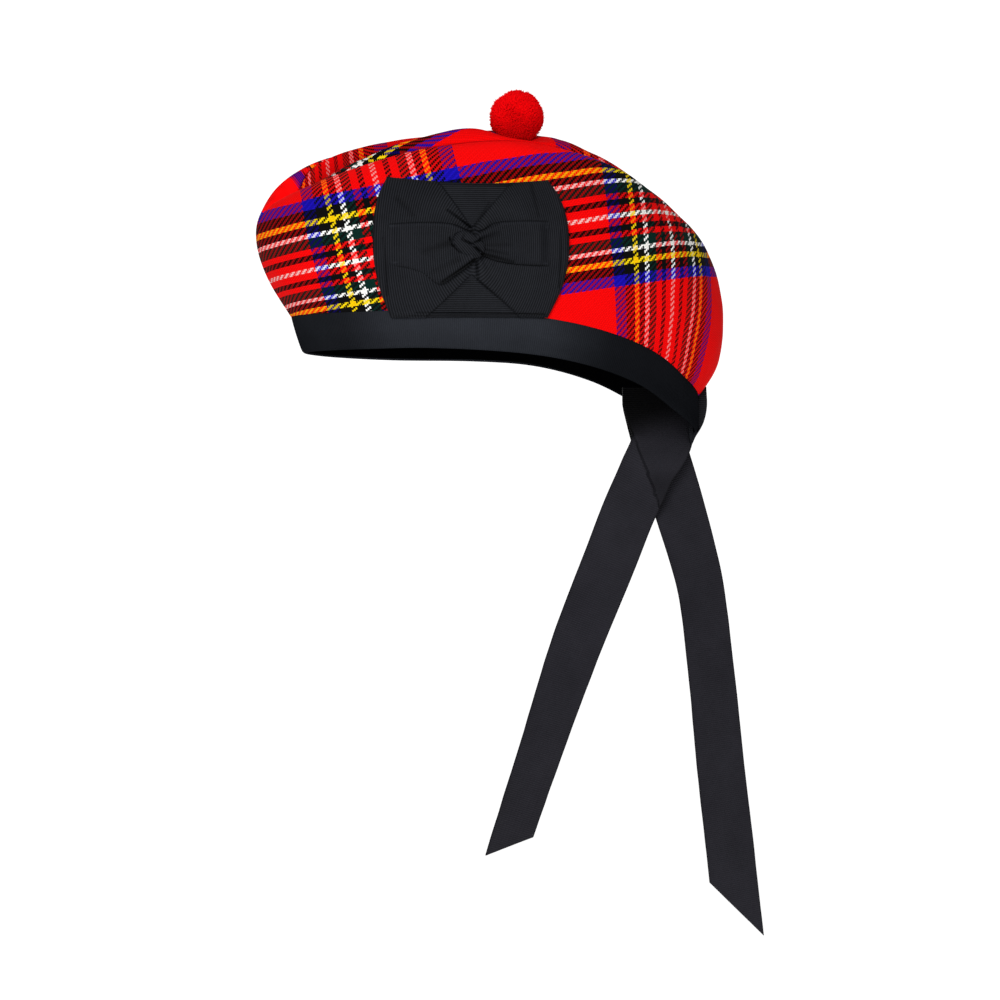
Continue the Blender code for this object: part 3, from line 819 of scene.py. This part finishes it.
def top_cloth(name, finishes):
    """The long panel on top, with its crease."""
    # The panel ends just short of the front and back seams
    tip = 0.003
    share, across = np.meshgrid(
        tip + (1 - 2 * tip) * crowded(201, 0.2),
        np.sin(np.pi / 2 * np.linspace(-1, 1, 81)),
    )
    grid = top_point(share, across)
    rise = column_lengths(grid)
    near = np.minimum(rise, rise[-1:, :] - rise)
    out = facing_seam(grid_normals(grid), share[0], LEFT, rise)
    out = facing_seam(out, share[0], RIGHT, rise[-1:, :] - rise)
    grid[0] += unit(grid[0] - grid[1]) * SEAM_OVERLAP
    grid[-1] += unit(grid[-1] - grid[-2]) * SEAM_OVERLAP
    calm = ease(0.0, 0.010, near)
    lift = calm * waves(grid, *TOP_WAVES)
    lift -= SEAM_DIP * hump(near, SEAM_WIDTH)
    outer = grid + out * lift[..., None]
    inner = grid - out * CLOTH
    along = read(SIDES, share, "top_x")
    cross = read(TOP_CLOTH, along, "cross") / 1000
    seam = read(TOP_CLOTH, along, "seam") / 1000
    crease = read(CREASE, along, "depth")
    bottom = -0.85 * ease(0.30, 0.08, along)
    hidden = CREASE_TAKES / 1000 * np.maximum(crease, ease(0.16, 0.10, along))
    lengthwise = seam - rise - hidden * (across > bottom)
    # Painted shade on the far slope of the crease, strong toward its front end, and in a line along the
    # seams
    sunk = np.maximum(crease, ease(0.03, 0.075, along) * ease(0.30, 0.16, along))
    shaded = sunk * ease(-0.12, 0.0, across - bottom) * ease(0.9, 0.1, across)
    painted_light_and_marks = -hump(near, SEAM_SHADE_WIDTH) - 0.55 * shaded
    piece = cloth_piece(name, outer, inner, (cross, lengthwise), finishes, painted_light_and_marks)
    dress(piece, name, cloth_area(grid))
    return piece


# Band

def ring_shares(count):
    """Places all the way round the rim: how far round, and which side."""
    place = np.arange(count) * 2 / count
    side = np.where(place <= 1, LEFT, RIGHT)
    return np.where(place <= 1, place, 2 - place), side


def band_ribbon(name, finishes):
    """The ribbon bound over the rim, with a rolled lower edge."""
    count = 480
    heights = BAND_SECTION["height"]
    depths = BAND_SECTION["depth"]
    share, side = ring_shares(count)
    grid = np.array([
        band_point(share, side, height, depth * BAND_WALL)
        for height, depth in zip(heights, depths)
    ])
    middle = grid[heights == 0.50][0]
    length = np.cumsum(np.linalg.norm(np.roll(middle, -1, axis=0) - middle, axis=1))
    pucker = 0.00022 * ruffle(grid, 60.0, 3.0) + 0.00008 * np.sin(length / 0.0062)[None, :]
    outside = ease(0.3, 0.0, depths)[:, None]
    grid = grid + plan_normal(share, side) * (pucker * outside)[..., None]
    place = np.stack(np.broadcast_arrays(length, (heights * BAND_HEIGHT)[:, None]), axis=-1)
    faces = grid_faces(0, len(grid), count, flip=True, closed=True)
    last = (len(grid) - 1) * count
    for j in range(count):
        k = (j + 1) % count
        faces.append((j, k, last + k, last + j))
    # The first rows of faces line the ribbon's inner side
    inside = np.arange(len(faces)) < 4 * count
    # Painted shade: the ribbon is darkest toward the front and the back, around a lit middle, and a
    # little darker low down
    painted_band_shade = -0.74 * ease(0.50, 0.64, share) - 0.55 * ease(0.32, 0.18, share)
    painted_band_shade = painted_band_shade[None, :] - 0.16 * ease(0.60, 0.15, heights)[:, None] * (1 + painted_band_shade[None, :])
    piece = made_piece(
        name, grid.reshape(-1, 3), faces, place.reshape(-1, 2), finishes, inside, painted_band_shade.ravel()
    )
    dress(piece, name)
    return piece


# Rosette

def face_finder(*pieces):
    """Finds where a line meets the pieces' faces."""
    shape = bmesh.new()
    for piece in pieces:
        shape.from_mesh(piece.data)
    tree = BVHTree.FromBMesh(shape)
    shape.free()
    return tree


def on_crown(tree, x, z):
    """Points on the crown's left side, or in front of it where it is hollow."""
    flat = np.empty(x.shape + (3,))
    for index in np.ndindex(x.shape):
        hits = [
            tree.ray_cast(Vector((x[index], -RIM_WIDTH, z[index] + step)), Vector((0, 1, 0)))[0]
            for step in (-0.0005, 0.0, 0.0005)
        ]
        flat[index] = (x[index], min(hit.y for hit in hits if hit), z[index])
    for _ in range(6):
        inside = (flat[2:, 1:-1, 1] + flat[:-2, 1:-1, 1] + flat[1:-1, 2:, 1] + flat[1:-1, :-2, 1]) / 4
        flat[1:-1, 1:-1, 1] = np.minimum(flat[1:-1, 1:-1, 1], inside)
    return flat


# Half-width of the folded square at heights from its lower to its upper edge
SQUARE = table(
    "height reach",
    (-1.00, 0.0381),
    (-0.60, 0.0442),
    (-0.20, 0.0476),
    (0.20, 0.0481),
    (0.50, 0.0469),
    (0.75, 0.0442),
    (1.00, 0.0395),
)

# Upper and lower edge of the bow, in millimetres from the rosette's middle
BOW = table(
    "across upper lower",
    (-40.7, 11.1, -9.3),
    (-32.0, 11.6, -10.8),
    (-25.0, 11.8, -13.4),
    (-16.5, 11.5, -19.0),
    (-9.0, 10.3, -14.6),
    (-3.0, 7.8, -10.4),
    (3.5, 7.8, -5.6),
    (10.0, 11.3, -7.4),
    (20.0, 12.5, -9.2),
    (37.6, 12.8, -9.9),
)

# Creases on the rosette: x and z where each starts and ends, in millimetres from its middle,
# width and depth
SQUARE_CREASES = (
    (-1.1, 9.1, -12.5, 18.0, 0.55, 1.3),
    (1.0, 10.0, 9.0, 22.0, 0.7, 0.5),
    (1.4, -8.0, 2.2, -17.0, 0.6, 0.9),
    (3.0, -17.5, 21.5, -32.5, 0.5, 0.6),
    (-2.0, -17.0, -19.0, -32.5, 0.5, 0.25),
    (20.0, 30.9, -16.0, 31.4, 0.4, 0.7),
    (36.0, -33.4, -27.0, -32.7, 0.4, 0.9),
    (-30.0, -34.2, 20.0, -34.4, 0.3, 0.5),
    (30.5, 31.0, 32.5, 16.0, 1.0, 0.5),
    (-41.0, -24.0, -43.5, 4.0, 0.6, 0.6),
    (43.0, -20.0, 44.0, 8.0, 0.6, 0.6),
    (-36.0, 24.0, -29.0, 16.0, 1.5, 0.4),
)
BOW_CREASES = (
    (4.0, -4.2, -15.6, -18.0, 0.7, 1.5),
    (4.4, -4.4, 19.0, -8.2, 0.9, 1.1),
    (-12.2, 3.6, -11.4, 0.4, 0.5, 1.3),
    (-11.4, 0.4, -7.2, -3.6, 0.5, 1.4),
    (-1.0, 6.6, -9.5, 10.0, 0.8, 0.7),
    (2.0, 7.2, 12.0, 11.0, 0.8, 0.7),
    (3.0, 2.8, 12.0, 6.0, 1.1, 0.6),
    (5.0, 0.0, 18.0, 0.5, 1.1, 0.4),
    (5.0, -2.4, 16.0, -4.4, 0.9, 0.6),
    (-13.0, 1.0, -24.0, -3.0, 1.8, 0.6),
    (-8.0, -7.0, -20.0, -13.0, 1.3, 0.4),
)
KNOT_CREASES = (
    (4.2, -4.9, -1.4, 0.1, 0.7, 1.6),
    (-1.4, 0.1, -6.4, 2.8, 0.6, 1.3),
    (3.1, 2.8, -0.5, 1.2, 0.5, 1.2),
    (-6.2, 3.6, -5.4, 6.0, 0.5, 0.6),
)
# Depth at which the painted shade in a crease is at its darkest
CREASE_SHADE_DEPTH = 0.0011
# Where the bow is tacked down at its corners
TACKS = ((-40.0, 10.2), (-38.4, -8.2), (36.6, 9.6), (36.0, -8.6))


def creased(x, z, creases):
    """How far the creases lie under the face; each is deepest where it starts."""
    total = 0.0
    for x0, z0, x1, z1, width, depth in creases:
        long = x1 - x0
        tall = z1 - z0
        from_x = x * 1000 - x0
        from_z = z * 1000 - z0
        t = np.clip((from_x * long + from_z * tall) / (long**2 + tall**2), 0, 1)
        away = np.hypot(from_x - t * long, from_z - t * tall)
        total = np.maximum(total, depth / 1000 * hump(away, width) * (1 - 0.45 * t))
    return total


def in_points(x, z):
    """1 inside the square's upper and lower points, where the ribbon lies lower."""
    upper = np.minimum(x + 0.001 + (z - 0.009) * 0.63, (z - 0.009) * 0.91 - 0.001 - x)
    lower = np.minimum(x + 0.001 + (-0.014 - z) * 1.0, (-0.014 - z) * 1.18 - 0.001 - x)
    return ease(-0.0003, 0.0003, np.maximum(upper, lower))


def square_face(x, z):
    """How far the folded square's face stands off the crown, without its creases."""
    petal = 1 - in_points(x, z)
    reach = np.hypot(x / 0.044, z / 0.035)
    puff = 0.0009 * petal * np.clip(reach, 0, 1) * np.clip(1.6 - reach, 0, 1)
    turn = np.arctan2(z, np.abs(x))
    gather = 0.0004 * petal * np.cos(11 * turn + 0.8) * hump(reach, 0.75)
    loop = 0.0010 * petal * ease(0.038, 0.046, np.abs(x))
    return SQUARE_STANDS + puff + 0.0004 * petal + gather + loop


def bow_face(x, z, across):
    """How far the bow's face stands off the crown, without its creases."""
    roll = np.sqrt(np.clip(1 - np.abs(across) ** 5, 0, 1))
    roll = roll * (1 - 0.35 * ease(-0.014, -0.026, x) * ease(0.2, -0.8, across))
    turn = np.arctan2(z, np.abs(x) + 0.004)
    gathers = 0.0006 * hump(x, 0.022) * np.cos(9 * turn + 0.6)
    hollow = 0.0006 * hump(np.abs(x) - 0.024, 0.010)
    return BOW_STANDS + 0.0019 * roll + gathers + 0.0010 * hump(x, 0.013) - hollow


def ribbed_pad(name, x, z, back, face, place, painted_light_and_marks, tree, finishes):
    """A layer of folded ribbon lying on the crown's left side, from its back to its face."""
    front = on_crown(tree, x + ROSETTE_X, z + ROSETTE_Z)
    rear = front.copy()
    front[..., 1] -= face
    rear[..., 1] -= back
    piece = cloth_piece(name, front, rear, place, finishes, painted_light_and_marks)
    dress(piece, name)


def rosette_base(tree, finishes):
    """The square of folded ribbon: two full side loops over an upper and a lower point."""
    a, b = np.meshgrid(np.linspace(-1, 1, 241), np.linspace(-1, 1, 201))
    x = a * read(SQUARE, b, "reach")
    z = b * ROSETTE_HEIGHT / 2 - np.maximum(b, 0) * (0.0030 * (1 - a**2) + 0.00085 * a)
    point = in_points(x, z)
    side_ribs = np.hypot(x, 0.62 * z)
    place = (np.where(point > 0.5, z, side_ribs), np.where(point > 0.5, x, z))
    cut = creased(x, z, SQUARE_CREASES)
    edge = np.minimum((1 - np.abs(a)) * 0.044, (1 - np.abs(b)) * 0.035)
    face = square_face(x, z) - cut - 0.0016 * hump(edge, 0.0009)
    # Painted shade in the creases, and a little along the edges of the upper and lower points
    point_edge_shade = 4 * point * (1 - point)
    painted_light_and_marks = -np.clip(cut / CREASE_SHADE_DEPTH, 0, 1) - 0.1 * point_edge_shade
    ribbed_pad(
        "rosette_base", x, z, ROSETTE_SEAT, face, place, painted_light_and_marks, tree, finishes
    )


def rosette_bow(tree, finishes):
    """The narrower ribbon across the square, drawn in at the knot."""
    a, b = np.meshgrid(np.linspace(-1, 1, 241), np.sin(np.pi / 2 * np.linspace(-1, 1, 81)))
    start, end = BOW["across"][[0, -1]] / 1000
    x = (start + end) / 2 + a * (end - start) / 2
    upper = read(BOW, x * 1000, "upper") / 1000
    lower = read(BOW, x * 1000, "lower") / 1000
    z = (upper + lower) / 2 + b * (upper - lower) / 2
    place = (np.hypot(x, 0.5 * z), z)
    cut = creased(x, z, BOW_CREASES)
    ends = (1 - np.abs(a)) * 0.039
    tacked = sum(
        np.exp(-(((x * 1000 - i) / 1.1) ** 2) - ((z * 1000 - j) / 0.45) ** 2) for i, j in TACKS
    )
    square = square_face(x, z)
    merge = ease(0.006, 0.0, ends)
    face = (1 - merge) * bow_face(x, z, b) + merge * (square + 0.00015) - cut + 0.0004 * tacked
    # Painted highlight just under the bow's upper edge, painted shade in its creases and along its long
    # edges; the tacks are lighter stitches
    crest_highlight = hump(upper - z - 0.0013, 0.0007) * ease(0.002, 0.008, np.abs(x))
    loose = ease(-0.014, -0.019, x) * (b < 0)
    line = 0.8 * np.abs(b) ** 24 * (1 - 0.8 * loose)
    painted_light_and_marks = 0.35 * crest_highlight + 0.9 * tacked - np.clip(cut / CREASE_SHADE_DEPTH, 0, 1) - line
    back = np.minimum(square - 0.0003, face - 0.0005)
    ribbed_pad(
        "rosette_bow", x, z, back, face, place, painted_light_and_marks, tree, finishes
    )


def rosette_knot(tree, finishes):
    """The twisted ribbon over the middle of the bow."""
    a, b = np.meshgrid(np.linspace(-1, 1, 81), np.linspace(-1, 1, 65))
    u = a * np.sqrt(1 - 0.5 * b**2) * KNOT_LENGTH / 2
    v = b * np.sqrt(1 - 0.5 * a**2) * KNOT_HEIGHT / 2
    x = u * math.cos(KNOT_TILT) - v * math.sin(KNOT_TILT) + KNOT_X
    z = u * math.sin(KNOT_TILT) + v * math.cos(KNOT_TILT) + KNOT_Z
    reach = np.clip(np.maximum(np.abs(a), np.abs(b)), 0, 1)
    dome = np.sqrt(1 - reach**3)
    cut = creased(x, z, KNOT_CREASES)
    slope = 0.0006 * b
    face = KNOT_STANDS + 0.0022 * dome + slope - cut
    # Painted shade in the knot's creases and round its rim
    painted_light_and_marks = -np.clip(cut / CREASE_SHADE_DEPTH, 0, 1) - 0.8 * reach**14
    place = (v + 0.3 * u, u)
    ribbed_pad(
        "rosette_knot", x, z, KNOT_SEAT, face, place, painted_light_and_marks, tree, finishes
    )


# Pompom

def spread_out(count):
    """Directions spread evenly over a ball."""
    index = np.arange(count) + 0.5
    tilt = np.arccos(1 - 2 * index / count)
    turn = np.pi * (1 + 5**0.5) * index
    return stack(np.sin(tilt) * np.cos(turn), np.sin(tilt) * np.sin(turn), np.cos(tilt))


def yarn_ends(out, centre, radius, rings, lean):
    """Tapered four-sided tufts that stand out of a ball; rings are reach, width and place.

    Under the ball the yarn is darker: painted shade."""
    # Painted shade under the ball
    underside_shade = 1 - 0.55 * ease(0.3, -0.8, out[:, 2])
    first = unit(np.cross(out, (0.3, 0.5, 0.81)))
    second = np.cross(out, first)
    layers = []
    places = []
    for reach, thick, place in rings:
        middle = centre + out * (radius * reach)[:, None] + lean * place
        for k in range(4 if thick else 1):
            angle = math.pi / 2 * k
            edge = first * math.cos(angle) + second * math.sin(angle)
            layers.append(middle + edge * thick)
            places.append(np.stack([np.arange(len(out)) * 0.013, place * underside_shade], axis=-1))
    points = np.stack(layers, axis=1)
    size = points.shape[1]
    faces = []
    for start in range(0, len(out) * size, size):
        for k in range(4):
            m = (k + 1) % 4
            for a in range(start, start + size - 5, 4):
                faces.append((a + k, a + m, a + m + 4, a + k + 4))
            faces.append((start + size - 5 + k, start + size - 5 + m, start + size - 1))
        faces.append((start + 3, start + 2, start + 1, start))
    return points.reshape(-1, 3), np.stack(places, axis=1).reshape(-1, 2), faces


def resting_height(tree, point):
    """How high a point has to be to clear the crown's cloth under it."""
    hit = tree.ray_cast(Vector(point) + Vector((0, 0, 0.03)), Vector((0, 0, -1)))[0]
    return -math.inf if hit is None else hit.z + 0.0003


def pompom_core(tree, centre, radius):
    """The ball's tight middle, flattened where it sits on the crown."""
    shape = bmesh.new()
    bmesh.ops.create_icosphere(shape, subdivisions=4, radius=radius)
    bmesh.ops.translate(shape, vec=Vector(centre), verts=shape.verts)
    shape.verts.index_update()
    for vert in shape.verts:
        vert.co.z = max(vert.co.z, resting_height(tree, vert.co))
    points = np.array([tuple(vert.co) for vert in shape.verts])
    faces = [tuple(vert.index for vert in face.verts) for face in shape.faces]
    shape.free()
    return points, faces


def pompom_ball(name, top, finishes):
    """The ball: a core with thousands of cut yarn ends standing close together on it."""
    centre = np.array([POMPOM_X, POMPOM_Y, POMPOM_HEIGHT])
    size = POMPOM_DIAMETER / 2
    tree = face_finder(top)
    chance = np.random.default_rng(7)
    out = spread_out(YARN_COUNT)
    lumps = np.array([noise.noise(Vector(way) * 1.9) for way in out])
    length = size * (0.985 + 0.050 * lumps + chance.normal(0, 0.009, len(out)))
    out = unit(out + chance.normal(0, 0.012, out.shape))
    stray = unit(chance.normal(0, 1, (STRAY_COUNT, 3)))
    fine = size * (1.0 + chance.random(STRAY_COUNT) * 0.07)
    groups = ((out, length, YARN, 0.00030), (stray, fine, STRAY_YARN, 0.00080))
    core, faces = pompom_core(tree, centre, size * POMPOM_CORE)
    points = [core]
    # The core takes the painted shade deep in the ball
    places = [np.zeros((len(core), 2)) + (0.0, 0.35)]
    count = len(core)
    for ways, reach, rings, bend in groups:
        tips = centre + ways * reach[:, None]
        clear = [i for i, tip in enumerate(tips) if tip[2] > resting_height(tree, tip)]
        lean = chance.normal(0, bend, (len(clear), 3))
        found = yarn_ends(ways[clear], centre, reach[clear], rings, lean)
        points.append(found[0])
        places.append(found[1])
        faces += [tuple(i + count for i in face) for face in found[2]]
        count += len(found[0])
    piece = made_piece(name, np.concatenate(points), faces, np.concatenate(places), finishes)
    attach(piece, "root")
    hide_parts(name)


# Tie and tails

def back_tie(name, finishes):
    """Ribbon folded round the band's lower edge at the back seam."""
    across = np.linspace(-0.5, 0.5, 15) * TIE_WIDTH
    side = np.where(across < 0, LEFT, RIGHT)
    share = 1 - np.arcsin(np.abs(across) / (RIM_WIDTH / 2)) / np.pi
    fine = np.linspace(0, TIE["order"][-1], 49)
    columns = [read(TIE, fine, key) for key in ("height", "depth", "out", "down")]
    touching = []
    facing = []
    for height, depth, out, down in zip(*columns):
        inset = depth * BAND_WALL + TIE_LOOSE * (2 * depth - 1)
        point = band_point(share, side, height, inset)
        reach = plan_normal(share, side) * out * TIE_THICKNESS
        reach[:, 2] -= down * TIE_HANG
        touching.append(point)
        facing.append(point + reach)
    touching = np.array(touching)
    facing = np.array(facing)
    length = column_lengths(facing)
    wide = np.broadcast_to(across, length.shape)
    facing[..., 2] += 0.0003 * np.sin(wide / 0.0021)
    piece = cloth_piece(name, facing, touching, (length, wide), finishes)
    dress(piece, name)


def tail_route(rows, fall, down):
    """A tail's middle line, and the ways along it, across the ribbon and out of its face."""
    inner_x = RIM_LENGTH / 2 - BAND_WALL - TIE_CLEAR - TIE_THICKNESS
    middle = stack(
        inner_x - fall * read(rows, down, "ahead"),
        TAIL_APART * read(rows, down, "side"),
        TAIL_TOP - BACK_DROP - fall * down,
    )
    along = unit(np.gradient(middle, axis=0))
    turn = np.radians(read(rows, down, "turn"))
    facing = stack(np.sin(turn), -np.cos(turn), 0 * turn)
    wide = unit(np.cross(facing, along))
    return middle, along, wide, unit(np.cross(along, wide))


def folded_end(grid):
    """How far points lie past the slanted fold at the top of the left tail, in metres."""
    start, end = FOLD_LINE
    x = end[0] - start[0]
    z = end[1] - start[1]
    past = (grid[..., 2] - start[1]) * x - (grid[..., 0] - start[0]) * z
    return past / math.hypot(x, z)


def tail_ribbon(name, rows, fall, cut, folded, seed, finishes):
    """A hanging ribbon, slightly waved, with fine woven edges and a slanted end."""
    down = np.linspace(-TAIL_HIDDEN / fall, 1, 181)
    middle, along, wide, out = tail_route(rows, fall, down)
    across = np.sin(np.pi / 2 * np.linspace(-1, 1, 25)) / 2
    slant = np.maximum(0.0, (down - TAIL_CUT_FROM) / (1 - TAIL_CUT_FROM))[:, None]
    longer = cut * across * slant
    fan = TAIL_SPREAD * ease(0.16, 0.04, down)[:, None] * (across > 0) * across * 2
    sideways = across * TAIL_WIDTH + fan * folded
    grid = (
        middle[:, None]
        + wide[:, None] * sideways[..., None]
        + along[:, None] * longer[..., None]
    )
    free = ease(0.1, 0.4, down)[:, None]
    wave = free * waves(grid, (0.0007, 22.0, seed), (0.00025, 90.0, seed))
    centre = TAIL_THICKNESS / 2 + wave
    selvage = 0.00033 + 0.00008 * ease(0.46, 0.48, np.abs(across))
    selvage = selvage - 0.00018 * ease(0.49, 0.5, np.abs(across))
    length = fall * down[:, None] + longer
    width = np.broadcast_to(across * TAIL_WIDTH, longer.shape)
    # Darker along its edges, and painted shadow where it hangs close under the tie
    painted_light_and_marks = -0.5 * ease(0.47, 0.5, np.abs(across)) - ease(0.095, 0.010, down)[:, None]
    thick = 0.0
    if folded:
        # The ribbon's upper end is folded to a point over the tail
        past = folded_end(grid)
        upper = (down < 0.5)[:, None]
        over = ease(-0.0002, 0.0004, past) * upper
        thick = FOLD_THICKNESS * over
        # Painted shadow along the fold's edge, and painted shade on the lower part of the folded point
        low = ease(-0.058, -0.070, grid[..., 2])
        painted_light_and_marks = painted_light_and_marks - 0.32 * hump(past, 0.0006) * upper - 0.4 * low * over
        painted_light_and_marks = np.maximum(painted_light_and_marks, -1.0)
        length = np.where(over > 0.5, -grid[..., 2], length)
    front = grid + out[:, None] * (centre + selvage + thick)[..., None]
    rear = grid + out[:, None] * (centre - selvage)[..., None]
    piece = cloth_piece(name, front, rear, (length, width), finishes, painted_light_and_marks)
    dress(piece, name)


# Studio

def pale_floor():
    """White under and behind the cap, a softer pale grey further out."""
    finish = Finish("pale floor", 0.9)
    x, y, _ = finish.apart(finish.wire(finish.add("TexCoord"), "Object"))
    behind = y * 2.0 + 1.0
    beside = finish.math("ABSOLUTE", x - 0.35) * -1.8 + 2.35
    near = finish.math("MINIMUM", finish.math("MINIMUM", behind, beside), 1.0)
    glow = finish.math("MAXIMUM", near, 0.0) * 0.48 + 0.38
    finish.colour((0.42, 0.42, 0.42, 1.0))
    white = (1.0, 1.0, 1.0, 1.0)
    finish.wire(finish.shader, 0, ("Emission Color", white), ("Emission Strength", glow))
    return finish.material


def studio():
    """A pale sweep under and behind the cap."""
    sweep = bmesh.new()
    bend = np.linspace(0.1, math.pi / 2, 16)
    profile = [(-FLOOR_REACH, 0.0), (WALL_FROM, 0.0)]
    profile += [(WALL_FROM + math.sin(a), 1 - math.cos(a)) for a in bend]
    profile += [(WALL_FROM + 1, WALL_HEIGHT)]
    rows = []
    for y, z in profile:
        ends = (-FLOOR_REACH, FLOOR_REACH)
        rows.append([sweep.verts.new((x, y, z - FLOOR_DROP)) for x in ends])
    for low, high in zip(rows, rows[1:]):
        sweep.faces.new((low[0], low[1], high[1], high[0]))
    mesh = bpy.data.meshes.new("pale sweep")
    sweep.to_mesh(mesh)
    sweep.free()
    mesh.shade_smooth()
    mesh.materials.append(pale_floor())
    backdrop = bpy.data.objects.new("pale_sweep", mesh)
    bpy.context.collection.objects.link(backdrop)


def soft_light(name, place, size, watts):
    """A large soft lamp that faces the cap."""
    lamp = bpy.data.lights.new(name, "AREA")
    lamp.shape = "SQUARE"
    lamp.size = size
    lamp.energy = watts
    made = bpy.data.objects.new(name, lamp)
    bpy.context.collection.objects.link(made)
    made.location = place
    aim = Vector((0.0, 0.0, 0.0)) - Vector(place)
    made.rotation_euler = aim.to_track_quat("-Z", "Y").to_euler()


def lights():
    """Faint light from all round, a soft lamp above and in front, and a smaller one below it."""
    world = bpy.data.worlds.new("studio air")
    bpy.context.scene.world = world
    world.use_nodes = True
    air = world.node_tree.nodes["Background"]
    air.inputs[0].default_value = (1.0, 1.0, 1.0, 1.0)
    air.inputs[1].default_value = AIR_LIGHT
    for lamp in LAMPS:
        soft_light(*lamp)
    scene = bpy.context.scene
    scene.view_settings.view_transform = "Standard"
    scene.view_settings.look = "None"


def camera():
    """A long lens level with the cap, a little in front of its left side."""
    lens = bpy.data.cameras.new("view")
    lens.sensor_width = 36.0
    lens.lens = VIEW_LENS
    made = bpy.data.objects.new("view", lens)
    bpy.context.collection.objects.link(made)
    made.location = VIEW_PLACE
    made.rotation_euler = (math.radians(90), 0.0, math.radians(VIEW_TURN))
    bpy.context.scene.camera = made


def main():
    tartan = tartan_cloth()
    lining = black_lining()
    bound = ribbon(
        "band ribbon", (0.0120, 0.0132, 0.0160, 1.0), (0.0320, 0.0350, 0.0430, 1.0), 0.80, 0.0
    )
    corded = ribbon(
        "rosette ribbon", (0.0024, 0.0026, 0.0034, 1.0), (0.0160, 0.0172, 0.0215, 1.0), 0.60, 0.06,
        depth=0.42,
    )
    tailed = ribbon(
        "tail ribbon", (0.0055, 0.0052, 0.0070, 1.0), (0.0275, 0.0264, 0.0340, 1.0), 0.62, 0.06
    )
    left = side_cloth("side_panel_left", LEFT, (tartan, lining))
    side_cloth("side_panel_right", RIGHT, (tartan, lining))
    top = top_cloth("top_panel", (tartan, lining))
    bound_edge = band_ribbon("band", (bound, lining))
    tree = face_finder(left, bound_edge)
    rosette_base(tree, (corded,))
    rosette_bow(tree, (corded,))
    rosette_knot(tree, (corded,))
    pompom_ball("pompom", top, (pompom_wool(),))
    back_tie("back_tie", (corded,))
    tail_ribbon("tail_left", TAIL_LEFT, TAIL_LEFT_FALL, -TAIL_LEFT_CUT, True, 3.0, (tailed,))
    tail_ribbon("tail_right", TAIL_RIGHT, TAIL_RIGHT_FALL, TAIL_RIGHT_CUT, False, 8.0, (tailed,))
    studio()
    lights()
    camera()


main()
